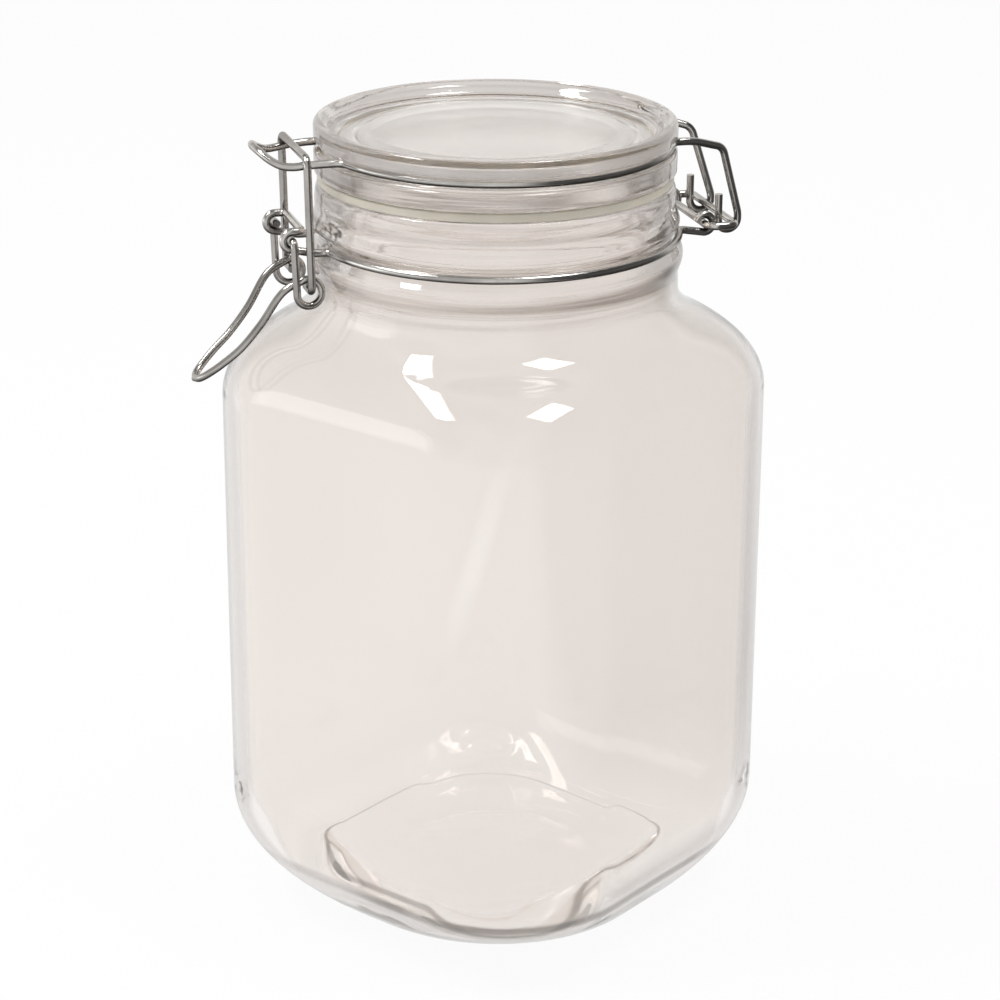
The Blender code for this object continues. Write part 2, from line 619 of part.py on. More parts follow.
def sweep_wire(name, path, radius, material, origin, closed=False):
    """Round wire along a path in the closure's plan; its section is carried along without twist."""
    path = [plan_to_world(*point) for point in without_repeats(path)]
    count = len(path)
    wire = bmesh.new()
    rings = []
    normal = None
    for index, here in enumerate(path):
        if closed:
            before, after = path[index - 1], path[(index + 1) % count]
        else:
            before, after = path[max(index - 1, 0)], path[min(index + 1, count - 1)]
        come = (here - before).normalized() if here != before else (after - here).normalized()
        leave = (after - here).normalized() if after != here else come
        along = (come + leave).normalized()
        if normal is None:
            normal = along.orthogonal().normalized()
            if closed:
                normal = Vector((0, 0, 1))
        normal = (normal - along * normal.dot(along)).normalized()
        across = along.cross(normal)
        miter = 1 / max(math.cos(come.angle(leave, 0.0) / 2), 0.5)
        bend_axis = leave - come
        ring = []
        for step in range(WIRE_SIDES):
            angle = FULL_TURN * step / WIRE_SIDES
            offset = radius * (math.cos(angle) * normal + math.sin(angle) * across)
            if bend_axis.length > STRAIGHT_LIMIT:
                inward = bend_axis.normalized()
                offset += inward * offset.dot(inward) * (miter - 1)
            ring.append(wire.verts.new(here + offset))
        rings.append(ring)
    pairs = list(zip(rings, rings[1:]))
    if closed:
        pairs.append((rings[-1], rings[0]))
    for first, second in pairs:
        for step in range(WIRE_SIDES):
            after = (step + 1) % WIRE_SIDES
            wire.faces.new((first[step], first[after], second[after], second[step]))
    if not closed:
        wire.faces.new(list(reversed(rings[0])))
        wire.faces.new(rings[-1])
    return finish_object(name, wire, material, origin, math.radians(45))


def build_lid_wire(material, hinge):
    """Both ends hook under the hinge bar; the ring lies in the lid's groove; the nose takes the bail."""
    hook_bottom = HINGE_Z - HOOK_RADIUS
    leg_u = HINGE_U + HOOK_RADIUS
    pin_u = HINGE_U - HOOK_RADIUS
    leg_angle = math.asin(LEG_EXIT_V / LID_RING_RADIUS)
    nose_angle = math.pi - math.asin(NOSE_EXIT_V / LID_RING_RADIUS)
    bend_share = RING_EXIT_BEND / LID_RING_RADIUS
    ring = ring_arc(LID_RING_RADIUS, LID_RING_HEIGHT, leg_angle + bend_share, nose_angle - bend_share)
    rear_corner = ring_arc(LID_RING_RADIUS, LID_RING_HEIGHT, leg_angle, nose_angle)[0]
    front_corner = ring_arc(LID_RING_RADIUS, LID_RING_HEIGHT, leg_angle, nose_angle)[-1]
    rear = bend_corners(
        [
            ((pin_u, HOOK_PIN_V, HOOK_PIN_TOP), 0),
            ((pin_u, HOOK_PIN_V, hook_bottom), HOOK_BEND),
            ((leg_u, HOOK_LEG_V, hook_bottom), HOOK_BEND),
            ((leg_u, HOOK_LEG_V, HINGE_Z + LEG_START_RISE), 2 * HOOK_BEND),
            ((LEG_TOP_U, LEG_TOP_V, LEG_TOP_Z), LEG_BEND),
            ((LEG_EXIT_U, LEG_EXIT_V, LID_RING_HEIGHT), 4 * LEG_BEND),
            (tuple(rear_corner), RING_EXIT_BEND * BEND_CLEAR_SHARE),
            (tuple(ring[0]), 0),
        ]
    )
    front = bend_corners(
        [
            (tuple(ring[-1]), 0),
            (tuple(front_corner), RING_EXIT_BEND * BEND_CLEAR_SHARE),
            (NOSE_POINTS[0], 0),
        ]
    )
    nose = smooth_curve(NOSE_POINTS, 2)
    half = rear + ring[1:-1] + front + nose[1:]
    whole = half + mirrored(half)[1:]
    return sweep_wire("lid_wire", whole, WIRE_RADIUS, material, hinge)


def build_collar_wire(material):
    """Eyes at the back hold the hinge bracket; hairpins at the front hold the lever's pins."""
    rear_angle = math.asin(REAR_EYE_V / COLLAR_RING_RADIUS)
    front_angle = math.pi - math.asin(COLLAR_EYE_V / COLLAR_RING_RADIUS)
    bend_share = COLLAR_EXIT_BEND / COLLAR_RING_RADIUS
    ring = ring_arc(COLLAR_RING_RADIUS, COLLAR_HEIGHT, rear_angle + bend_share, front_angle - bend_share)
    corners = ring_arc(COLLAR_RING_RADIUS, COLLAR_HEIGHT, rear_angle, front_angle)
    eye = []
    steps = math.ceil((REAR_EYE_END + QUARTER_TURN) / BEND_STEP)
    for step in range(steps + 1):
        angle = REAR_EYE_END - (REAR_EYE_END + QUARTER_TURN) * step / steps
        eye.append(
            Vector(
                (
                    BRACKET_INNER_U + REAR_EYE_RADIUS * math.cos(angle),
                    REAR_EYE_V,
                    HINGE_Z + REAR_EYE_RADIUS * math.sin(angle),
                )
            )
        )
    rear = bend_corners(
        [
            (tuple(eye[-1]), 0),
            (tuple(corners[0]), COLLAR_EXIT_BEND * BEND_CLEAR_SHARE),
            (tuple(ring[0]), 0),
        ]
    )
    hairpin = []
    steps = math.ceil(math.pi / BEND_STEP)
    for step in range(steps + 1):
        angle = -QUARTER_TURN - math.pi * step / steps
        hairpin.append(
            Vector(
                (
                    PIVOT_U + COLLAR_EYE_RADIUS * math.cos(angle),
                    COLLAR_EYE_V,
                    PIVOT_Z + COLLAR_EYE_RADIUS * math.sin(angle),
                )
            )
        )
    front = bend_corners(
        [
            (tuple(ring[-1]), 0),
            (tuple(corners[-1]), COLLAR_EXIT_BEND * BEND_CLEAR_SHARE),
            ((COLLAR_STRAND_U, COLLAR_EYE_V, COLLAR_HEIGHT), 2 * COLLAR_EXIT_BEND),
            (tuple(hairpin[0]), 0),
        ]
    )
    crossbar = bend_corners(
        [
            (tuple(hairpin[-1]), 0),
            ((CROSSBAR_U, COLLAR_EYE_V, CROSSBAR_Z), CROSSBAR_BEND),
            ((CROSSBAR_U, 0.0, CROSSBAR_Z), 0),
        ]
    )
    half = eye + rear[1:] + ring[1:-1] + front + hairpin[1:] + crossbar[1:]
    whole = half + mirrored(half)[1:]
    return sweep_wire("collar_wire", whole, WIRE_RADIUS, material, Vector((0, 0, COLLAR_HEIGHT)))


def build_hinge_bracket(material):
    corners = [
        ((HINGE_U, -BRACKET_HALF_WIDTH, HINGE_Z), BRACKET_BEND),
        ((HINGE_U, BRACKET_HALF_WIDTH, HINGE_Z), BRACKET_BEND),
        ((BRACKET_INNER_U, BRACKET_HALF_WIDTH, HINGE_Z), BRACKET_BEND),
        ((BRACKET_INNER_U, -BRACKET_HALF_WIDTH, HINGE_Z), BRACKET_BEND),
    ]
    origin = plan_to_world(BRACKET_INNER_U, 0, HINGE_Z)
    path = bend_corners(corners, closed=True)
    return sweep_wire("hinge_bracket", path, WIRE_RADIUS, material, origin, closed=True)


def build_lever(material, pivot):
    """Pivot pin, crank, a full eye for the bail and then the handle, which closes at its tip."""
    across = math.hypot(PIVOT_U - LEVER_EYE_U, PIVOT_Z - LEVER_EYE_Z)
    towards_pivot = math.atan2(PIVOT_Z - LEVER_EYE_Z, PIVOT_U - LEVER_EYE_U)
    first = towards_pivot + math.acos(LEVER_EYE_RADIUS / across)
    last = ARM_LEAVE_ANGLE + FULL_TURN
    steps = math.ceil((last - first) / BEND_STEP)
    coil = []
    for step in range(steps + 1):
        share = step / steps
        angle = first + (last - first) * share
        coil.append(
            Vector(
                (
                    LEVER_EYE_U + LEVER_EYE_RADIUS * math.cos(angle),
                    CRANK_V + (ARM_V - CRANK_V) * share,
                    LEVER_EYE_Z + LEVER_EYE_RADIUS * math.sin(angle),
                )
            )
        )
    pin = bend_corners(
        [
            ((PIVOT_U, LEVER_PIN_END, PIVOT_Z), 0),
            ((PIVOT_U, CRANK_V, PIVOT_Z), LEVER_PIN_BEND),
            (tuple(coil[0]), 0),
        ]
    )
    arm = smooth_curve((tuple(coil[-1]),) + HANDLE_POINTS, 3)
    half = pin + coil[1:] + arm[1:]
    whole = half + mirrored(half)[1:]
    return sweep_wire("lever", whole, LEVER_WIRE_RADIUS, material, pivot)


def build_bail(material, foot):
    corners = [
        ((BAIL_FOOT_U, BAIL_FOOT_END, BAIL_FOOT_Z), 0),
        ((BAIL_FOOT_U, BAIL_V, BAIL_FOOT_Z), BAIL_FOOT_BEND),
        ((BAIL_BAR_U, BAIL_V, BAIL_BAR_Z), BAIL_BEND_RADIUS),
        ((BAIL_BAR_U, -BAIL_V, BAIL_BAR_Z), BAIL_BEND_RADIUS),
        ((BAIL_FOOT_U, -BAIL_V, BAIL_FOOT_Z), BAIL_FOOT_BEND),
        ((BAIL_FOOT_U, -BAIL_FOOT_END, BAIL_FOOT_Z), 0),
    ]
    return sweep_wire("bail", bend_corners(corners), WIRE_RADIUS, material, foot)


def build_jar():
    clear_scene()
    glass = make_material("body_glass", GLASS_COLOUR, 0.06, 0.0)
    lid_glass = make_material("lid_glass", LID_COLOUR, 0.08, 0.0)
    rubber = make_material("gasket_rubber", GASKET_COLOUR, 0.55, 0.0)
    lid_steel = make_material("lid_wire_steel", STEEL_COLOUR, 0.18, 1.0)
    collar_steel = make_material("collar_wire_steel", DARK_STEEL_COLOUR, 0.2, 1.0)
    bracket_steel = make_material("hinge_bracket_steel", DARK_STEEL_COLOUR, 0.22, 1.0)
    lever_steel = make_material("lever_steel", STEEL_COLOUR, 0.16, 1.0)
    bail_steel = make_material("bail_steel", STEEL_COLOUR, 0.17, 1.0)
    hinge = plan_to_world(HINGE_U, 0, HINGE_Z)
    pivot = plan_to_world(PIVOT_U, 0, PIVOT_Z)
    foot = plan_to_world(BAIL_FOOT_U, 0, BAIL_FOOT_Z)
    build_jar_body(glass)
    build_lid(lid_glass, hinge)
    build_gasket(rubber, hinge)
    build_lid_wire(lid_steel, hinge)
    build_collar_wire(collar_steel)
    build_hinge_bracket(bracket_steel)
    build_lever(lever_steel, pivot)
    build_bail(bail_steel, foot)


build_jar()
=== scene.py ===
import json
import math

import bmesh
import bpy
from mathutils import Matrix, Vector


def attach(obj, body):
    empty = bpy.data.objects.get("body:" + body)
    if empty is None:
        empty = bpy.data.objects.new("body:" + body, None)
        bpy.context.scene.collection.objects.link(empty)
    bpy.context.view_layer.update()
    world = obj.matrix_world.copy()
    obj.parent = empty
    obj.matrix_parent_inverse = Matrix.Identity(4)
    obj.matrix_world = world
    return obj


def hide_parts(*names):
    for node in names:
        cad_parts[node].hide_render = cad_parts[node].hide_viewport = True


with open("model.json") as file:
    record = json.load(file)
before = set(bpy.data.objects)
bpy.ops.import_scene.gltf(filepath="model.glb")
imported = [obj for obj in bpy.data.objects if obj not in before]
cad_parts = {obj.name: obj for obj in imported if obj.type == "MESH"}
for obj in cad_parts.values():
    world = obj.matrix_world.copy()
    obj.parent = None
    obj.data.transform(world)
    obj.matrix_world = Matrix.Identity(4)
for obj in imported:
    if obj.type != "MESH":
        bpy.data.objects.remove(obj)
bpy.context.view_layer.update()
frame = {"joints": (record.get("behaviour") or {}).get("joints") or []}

mm = 0.001
cm = 10 * mm
tiny = 0.001 * mm  # counts as nothing
fullTurn = 2 * math.pi
quarterTurn = math.pi / 2
joints = {joint["name"]: joint for joint in frame["joints"]}
hingePoint = Vector(joints["lid_hinge"]["pos_m"])
pivotPoint = Vector(joints["lever_pivot"]["pos_m"])
footPoint = Vector(joints["bail_swing"]["pos_m"])
closureAngle = math.atan2(hingePoint.y, hingePoint.x)  # from +X to the hinge


def planPoint(u, v, z):  # u towards the hinge, v along it
    return Matrix.Rotation(closureAngle, 3, "Z") @ Vector((u, v, z))


def planReach(point):  # the u of a point of the frame
    return point.x * math.cos(closureAngle) + point.y * math.sin(closureAngle)


# Shader maths: a wrapped socket, so that masks and mixes read as expressions
class Socket:
    def __init__(self, finish, socket):
        self.finish = finish
        self.socket = socket

    def __add__(self, other):
        return self.finish.maths("ADD", self, other)

    def __sub__(self, other):
        return self.finish.maths("SUBTRACT", self, other)

    def __rsub__(self, other):
        return self.finish.maths("SUBTRACT", other, self)

    def __mul__(self, other):
        return self.finish.maths("MULTIPLY", self, other)

    def __pow__(self, other):
        return self.finish.maths("POWER", self, other)


class Node:
    def __init__(self, finish, node):
        self.finish = finish
        self.node = node

    def out(self, name):
        return Socket(self.finish, self.node.outputs[name])


class Finish:  # one material or world, and the nodes it is made of
    def __init__(self, name, owner=None):
        self.owner = owner or bpy.data.materials.new(name)
        self.owner.use_nodes = True
        self.tree = self.owner.node_tree

    def node(self, kind, settings=None, sockets=None):
        made = self.tree.nodes.new("ShaderNode" + kind)
        for name, value in (settings or {}).items():
            setattr(made, name, value)
        for name, value in (sockets or {}).items():
            self.feed(made.inputs[name], value)
        return Node(self, made)

    def feed(self, slot, value):
        if isinstance(value, Socket):
            self.tree.links.new(value.socket, slot)
        else:
            slot.default_value = value

    def maths(self, operation, first, second=0.0):
        return self.node("Math", {"operation": operation}, {0: first, 1: second}).out(0)

    def surface(self, values):  # sets or links the sockets of the Principled shader
        shader = self.tree.nodes["Principled BSDF"]
        for name, value in values.items():
            self.feed(shader.inputs[name], value)

    def place(self, kind="Object"):
        return self.node("TexCoord").out(kind)

    def stretch(self, vector, scale):
        return self.node("Mapping", None, {"Vector": vector, "Scale": scale}).out("Vector")

    def noise(self, vector, scale, detail=2.0, roughness=0.5):
        sockets = {"Vector": vector, "Scale": scale, "Detail": detail, "Roughness": roughness}
        return self.node("TexNoise", None, sockets).out("Fac")

    def between(self, value, low, high):  # spreads a range of a value over 0 to 1
        sockets = {"Value": value, "From Min": low, "From Max": high}
        return self.node("MapRange", {"clamp": True}, sockets).out("Result")

    def line(self, away, half, core):  # 1 within a share of the half width, fading to 0 at its edge
        return 1 - self.between(self.maths("ABSOLUTE", away), half * core, half)

    def mixColour(self, factor, first, second):
        sockets = {"Factor": factor, 6: first, 7: second}
        return self.node("Mix", {"data_type": "RGBA"}, sockets).out(2)

    def bump(self, height, strength, distance):
        sockets = {"Height": height, "Strength": strength, "Distance": distance}
        return self.node("Bump", None, sockets).out("Normal")


def addObject(name, data):
    made = bpy.data.objects.new(name, data)
    bpy.context.scene.collection.objects.link(made)
    return made


def makeObject(name, shell, smoothAngle):  # an object from the faces of a bmesh
    bmesh.ops.recalc_face_normals(shell, faces=shell.faces)
    mesh = bpy.data.meshes.new(name)
    shell.to_mesh(mesh)
    shell.free()
    made = addObject(name, mesh)
    for face in mesh.polygons:
        face.use_smooth = True
    mesh.set_sharp_from_angle(angle=math.radians(smoothAngle))
    return made


def dress(piece, finish, body, node):  # one finish, the body it rides on and the node it stands for
    piece.data.materials.append(finish.owner)
    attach(piece, body)
    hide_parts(node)


def easeCorner(here, comes, leaves, reach, steps):  # a curve between the two sides of a corner
    start = here + comes.normalized() * reach
    end = here + leaves.normalized() * reach
    shares = [step / steps for step in range(steps + 1)]
    return [tuple(start * (1 - t) ** 2 + here * 2 * t * (1 - t) + end * t**2) for t in shares]


def blendRows(rows, softness, steps):  # rounds the corners of a profile by a share of its shorter side
    rounded = [rows[0]]
    for before, here, after in zip(rows, rows[1:], rows[2:]):
        here = Vector(here)
        comes, leaves = Vector(before) - here, Vector(after) - here
        rounded += easeCorner(here, comes, leaves, softness * min(comes.length, leaves.length), steps)
    return rounded + [rows[-1]]


# Glass body
body = {
    "halfWidth": 62.5 * mm,
    "cornerRadius": 35.8 * mm,
    "wall": 3.8 * mm,
    "heelInset": 30.0 * mm,
    "heelHeight": 32.8 * mm,
    "heelCornerShare": 0.73,
    "shoulderStart": 148.4 * mm,
    "shoulderInset": 20.9 * mm,
    "shoulderHeight": 23.8 * mm,
    "shoulderSweep": math.radians(54.0),
    "neckRadius": 48.9 * mm,
    "upperNeckRadius": 48.0 * mm,
    "rimHeight": 206.2 * mm,
    "mouthRadius": 42.0 * mm,
    "rimFlatRadius": 46.7 * mm,
    "rimBreak": 0.7 * mm,
    "innerNeckRadius": 44.0 * mm,
    "innerNeckHeight": 183.0 * mm,
    "mouthWallHeight": 194.0 * mm,
    "upperNeckHeight": 202.4 * mm,
    "collarHeight": 192.2 * mm,
    "seatRadius": 47.45 * mm,
    "seatHalf": 1.0 * mm,
    "beadRadius": 50.0 * mm,
    "beadDrop": 5.0 * mm,
    "beadHalf": 2.2 * mm,
    "swellRadius": 49.0 * mm,
    "swellRise": 3.4 * mm,
    "swellHalf": 1.8 * mm,
    "floorHeight": 9.5 * mm,
    "floorStepWidth": 0.8 * mm,
    "floorStepHeight": 0.5 * mm,
    "floorCrown": 0.9 * mm,
    "floorCorner": 29.6 * mm,
    "innerHeelInset": 15.7 * mm,
    "innerHeelHeight": 30.0 * mm,
    "pushUpRadius": 30.0 * mm,
    "pushUpDepth": 1.6 * mm,
    "sides": 192,
    "steps": 20,  # of each curve up the outside and the inside
    "wallRings": 6,
    "floorRings": 12,
    "neckSoftness": 0.35,
    "neckSteps": 5,
    "innerNeckRings": 3,  # the neck's last rings face the contents
    "smoothAngle": 60,
}


def squareReach(angle, halfWidth, cornerRadius):
    folded = abs((angle + quarterTurn / 2) % quarterTurn - quarterTurn / 2)
    straight = halfWidth - cornerRadius
    if halfWidth * math.tan(folded) <= straight:
        return halfWidth / math.cos(folded)
    along = straight * (math.cos(folded) + math.sin(folded))
    return along + math.sqrt(max(along**2 - 2 * straight**2 + cornerRadius**2, 0.0))


def openingCorner(halfWidth):  # the corners open out until the section is the neck's circle
    share = (body["halfWidth"] - halfWidth) / (body["halfWidth"] - body["neckRadius"])
    radius = body["cornerRadius"] + share * (body["neckRadius"] - body["cornerRadius"])
    return min(radius, halfWidth)


def heelRows():  # the foot is a circle, and its corners tighten on the way up to the walls
    b, rows = body, []
    for step in range(b["steps"] + 1):
        angle = quarterTurn * step / b["steps"]
        inset = b["heelInset"] * (1 - math.sin(angle))
        half = b["halfWidth"] - inset
        corner = min(b["cornerRadius"] + b["heelCornerShare"] * inset, half)
        rows.append((half, corner, b["heelHeight"] * (1 - math.cos(angle))))
    for step in range(1, b["wallRings"]):
        height = b["heelHeight"] + step / b["wallRings"] * (b["shoulderStart"] - b["heelHeight"])
        rows.append((b["halfWidth"], b["cornerRadius"], height))
    return rows


def shoulderRows():
    b, rows = body, []
    for step in range(b["steps"] + 1):
        angle = b["shoulderSweep"] * step / b["steps"]
        inset = b["shoulderInset"] * (1 - math.cos(angle))
        rows.append((b["halfWidth"] - inset, b["shoulderStart"] + b["shoulderHeight"] * math.sin(angle)))
    across = b["shoulderInset"] * math.sin(b["shoulderSweep"])
    lean = math.atan2(across, b["shoulderHeight"] * math.cos(b["shoulderSweep"]))
    start, height = rows[-1]
    radius = (start - b["neckRadius"]) / (1 - math.cos(lean))
    for step in range(1, b["steps"] // 2 + 1):
        angle = lean * (1 - 2 * step / b["steps"])
        rise = radius * (math.sin(lean) - math.sin(angle))
        rows.append((b["neckRadius"] + radius * (1 - math.cos(angle)), height + rise))
    return rows


def neckRows():
    b = body
    bead = b["collarHeight"] - b["beadDrop"]
    swell = b["collarHeight"] + b["swellRise"]
    rough = [
        (b["neckRadius"], bead - 3 * b["beadHalf"]),
        (b["neckRadius"], bead - 2 * b["beadHalf"]),
        (b["beadRadius"], bead - b["beadHalf"] / 2),
        (b["beadRadius"], bead + b["beadHalf"] / 2),
        (b["seatRadius"], b["collarHeight"] - b["seatHalf"]),
        (b["seatRadius"], b["collarHeight"] + b["seatHalf"]),
        (b["swellRadius"], swell - b["swellHalf"] / 3),
        (b["swellRadius"], swell + b["swellHalf"] / 3),
        (b["upperNeckRadius"], swell + 2 * b["swellHalf"]),
        (b["upperNeckRadius"], b["upperNeckHeight"]),
        (b["upperNeckRadius"] - b["rimBreak"] / 2, b["rimHeight"] - 2 * b["rimBreak"]),
        (b["rimFlatRadius"] + b["rimBreak"] / 2, b["rimHeight"]),
        (b["mouthRadius"], b["rimHeight"]),
        (b["mouthRadius"], b["mouthWallHeight"]),
        (b["innerNeckRadius"], b["innerNeckHeight"]),
    ]
    return blendRows(rough, b["neckSoftness"], b["neckSteps"])


def insideRows(outside):
    b, rows, shell = body, [], []
    for before, here, after in zip(outside, outside[1:], outside[2:]):
        run = Vector((after[0] - before[0], after[1] - before[1])).normalized()
        shell.append((here[0] - b["wall"] * run.y, here[1] + b["wall"] * run.x))
    for half, height in reversed(shell):
        if not b["shoulderStart"] < height < b["innerNeckHeight"] - b["wall"]:
            continue
        rows.append((half, min(openingCorner(half + b["wall"]) - b["wall"], half), height))
    half = b["halfWidth"] - b["wall"]
    corner = b["cornerRadius"] - b["wall"]
    rows.append((half, corner, b["shoulderStart"]))
    heelTop = b["floorHeight"] + b["innerHeelHeight"]
    for step in range(1, b["wallRings"]):
        share = 1 - step / b["wallRings"]
        rows.append((half, corner, heelTop + share * (b["shoulderStart"] - heelTop)))
    for step in range(b["steps"] + 1):
        angle = quarterTurn * (1 - step / b["steps"])
        share = 1 - math.sin(angle)
        radius = corner + share * (b["floorCorner"] - corner)
        height = b["floorHeight"] + b["innerHeelHeight"] * (1 - math.cos(angle))
        rows.append((half - b["innerHeelInset"] * share, radius, height))
    padHalf = rows[-1][0] - b["floorStepWidth"]
    padCorner = b["floorCorner"] - b["floorStepWidth"]
    for step in range(b["floorRings"]):
        share = 1 - step / b["floorRings"]
        height = b["floorHeight"] + b["floorStepHeight"] + b["floorCrown"] * (1 - share**2)
        rows.append((padHalf * share, padCorner * share, height))
    return rows


def undersideRows():  # the foot stands on a ring round a shallow push-up
    b, rows = body, []
    for step in range(b["floorRings"]):
        share = step / b["floorRings"]
        rows.append((b["pushUpRadius"] * share, b["pushUpDepth"] * (1 - share**2)))
    rows[0] = (b["pushUpRadius"] / 100, b["pushUpDepth"])  # a tiny ring, which one face closes
    rows.append((b["pushUpRadius"], 0.0))
    return rows


def loftSections(name, sections, sides, smoothAngle):
    loft = bmesh.new()
    rings = []
    for halfWidth, cornerRadius, height in sections:
        ring = []
        for step in range(sides):
            angle = fullTurn * step / sides
            reach = squareReach(angle, halfWidth, cornerRadius)
            ring.append(loft.verts.new((reach * math.cos(angle), reach * math.sin(angle), height)))
        rings.append(ring)
    for lower, upper in zip(rings, rings[1:]):
        for step in range(sides):
            after = (step + 1) % sides
            loft.faces.new((lower[step], lower[after], upper[after], upper[step]))
    loft.faces.new(list(reversed(rings[0])))
    loft.faces.new(rings[-1])
    return makeObject(name, loft, smoothAngle)


def makeBody(finish):
    shoulder = shoulderRows()
    sections = [(radius, radius, height) for radius, height in undersideRows()]
    sections += heelRows()
    sections += [(half, openingCorner(half), height) for half, height in shoulder]
    sections += [(radius, radius, height) for radius, height in neckRows()]
    outerCount = len(sections) - body["innerNeckRings"]
    sections += insideRows(shoulder)
    piece = loftSections("glassBody", sections, body["sides"], body["smoothAngle"])
    inner = piece.data.attributes.new("inner", "FLOAT", "POINT")  # 1 on the glass that faces the contents
    for index, value in enumerate(inner.data):
        value.value = 1.0 if index // body["sides"] >= outerCount else 0.0
    dress(piece, finish, "jar", "jar_body")


# Glass lid
lid = {
    "radius": 48.0 * mm,
    "top": 222.5 * mm,
    "ringHeight": 216.3 * mm,
    "grooveRadius": 44.9 * mm,
    "grooveHalf": 1.35 * mm,
    "edge": 0.8 * mm,  # the fillet of every corner that has none of its own
    "rimWidth": 3.4 * mm,
    "rimRound": 1.4 * mm,
    "rimInnerRound": 3.22 * mm,
    "wellRound": 2.52 * mm,
    "panelRound": 3.0 * mm,
    "wellRadius": 42.3 * mm,
    "wellDepth": 3.6 * mm,
    "panelRadius": 33.3 * mm,
    "panelRamp": 4.3 * mm,
    "panelRise": 0.9 * mm,
    "thickness": 4.6 * mm,
    "seat": 209.2 * mm,
    "plugRadius": 41.2 * mm,
    "plugDepth": 5.8 * mm,
    "plugTaper": 1.7 * mm,
    "plugTaperHeight": 3.0 * mm,
    "plugWall": 3.4 * mm,
    "plugTipWall": 1.6 * mm,
    "sides": 192,
    "filletSteps": 6,
    "smoothAngle": 60,
}


def turnProfile(name, rows, sides, closed, smoothAngle):  # a Screw turns the profile about the jar's axis
    mesh = bpy.data.meshes.new(name)
    edges = [(index, index + 1) for index in range(len(rows) - 1)]
    if closed:
        edges.append((len(rows) - 1, 0))
    mesh.from_pydata([(radius, 0.0, height) for radius, height in rows], edges, [])
    piece = addObject(name, mesh)
    screw = piece.modifiers.new("turn", "SCREW")
    screw.axis = "Z"
    screw.angle = fullTurn
    screw.steps = sides
    screw.render_steps = sides
    screw.use_merge_vertices = True
    screw.merge_threshold = 0.01 * mm
    depsgraph = bpy.context.evaluated_depsgraph_get()
    turned = bmesh.new()
    turned.from_object(piece, depsgraph)
    bpy.data.objects.remove(piece, do_unlink=True)
    bmesh.ops.remove_doubles(turned, verts=turned.verts, dist=tiny)
    return makeObject(name, turned, smoothAngle)


def lidCorners():  # radius and height, and a fillet where it isn't the plain one
    d = lid
    low = d["ringHeight"] - d["grooveHalf"]
    high = d["ringHeight"] + d["grooveHalf"]
    well = d["top"] - d["wellDepth"]
    ceiling = well - d["thickness"]
    plugBottom = d["seat"] - d["plugDepth"]
    inner = d["plugRadius"] - d["plugWall"]
    tip = d["plugRadius"] - d["plugTaper"]
    return [
        (0.0, ceiling + d["panelRise"] / 2),
        (inner - 3 * d["edge"], ceiling),
        (inner, ceiling - 3 * d["edge"]),
        (tip - d["plugTipWall"], plugBottom),
        (tip, plugBottom),
        (d["plugRadius"], plugBottom + d["plugTaperHeight"]),
        (d["plugRadius"], d["seat"]),
        (d["radius"], d["seat"]),
        (d["radius"], low),
        (d["grooveRadius"], low),
        (d["grooveRadius"], high),
        (d["radius"], high),
        (d["radius"], d["top"], d["rimRound"]),
        (d["radius"] - d["rimWidth"], d["top"], d["rimInnerRound"]),
        (d["wellRadius"], well + d["edge"] / 2, d["wellRound"]),
        (d["wellRadius"] - 2 * d["edge"], well),
        (d["panelRadius"] + d["panelRamp"], well, d["panelRound"]),
        (d["panelRadius"], well + d["panelRise"], d["panelRound"]),
        (0.0, well + d["panelRise"]),
    ]


def roundCorners(rows, radii, steps):  # each corner gets its own fillet, as far as its sides allow
    mostReach = 0.48  # of a side, so that two fillets never meet
    rounded = [rows[0]]
    for before, here, after, radius in zip(rows, rows[1:], rows[2:], radii[1:]):
        here = Vector(here)
        comes, leaves = Vector(before) - here, Vector(after) - here
        turn = math.pi - comes.angle(leaves)
        reach = min(radius * math.tan(turn / 2), mostReach * comes.length, mostReach * leaves.length)
        rounded += easeCorner(here, comes, leaves, reach, steps)
    return rounded + [rows[-1]]


def makeLid(finish):
    corners = lidCorners()
    rows = [corner[:2] for corner in corners]
    fillets = [corner[2] if len(corner) > 2 else lid["edge"] for corner in corners]
    profile = roundCorners(rows, fillets, lid["filletSteps"])
    piece = turnProfile("glassLid", profile, lid["sides"], False, lid["smoothAngle"])
    dress(piece, finish, "lid", "lid")


# Rubber gasket
gasket = {
    "inner": 41.5 * mm,
    "outer": 47.2 * mm,
    "bottom": 206.5 * mm,
    "top": 208.9 * mm,
    "edge": 0.5 * mm,
    "edgeSteps": 4,
    "sides": 160,
    "smoothAngle": 50,
}


def makeGasket(finish):
    g = gasket
    middle = ((g["inner"] + g["outer"]) / 2, g["bottom"])
    path = [
        middle,
        (g["outer"], g["bottom"]),
        (g["outer"], g["top"]),
        (g["inner"], g["top"]),
        (g["inner"], g["bottom"]),
        middle,
    ]
    rounded = roundCorners(path, [g["edge"]] * len(path), g["edgeSteps"])[:-1]
    piece = turnProfile("rubberRing", rounded, g["sides"], True, g["smoothAngle"])
    dress(piece, finish, "lid", "gasket")


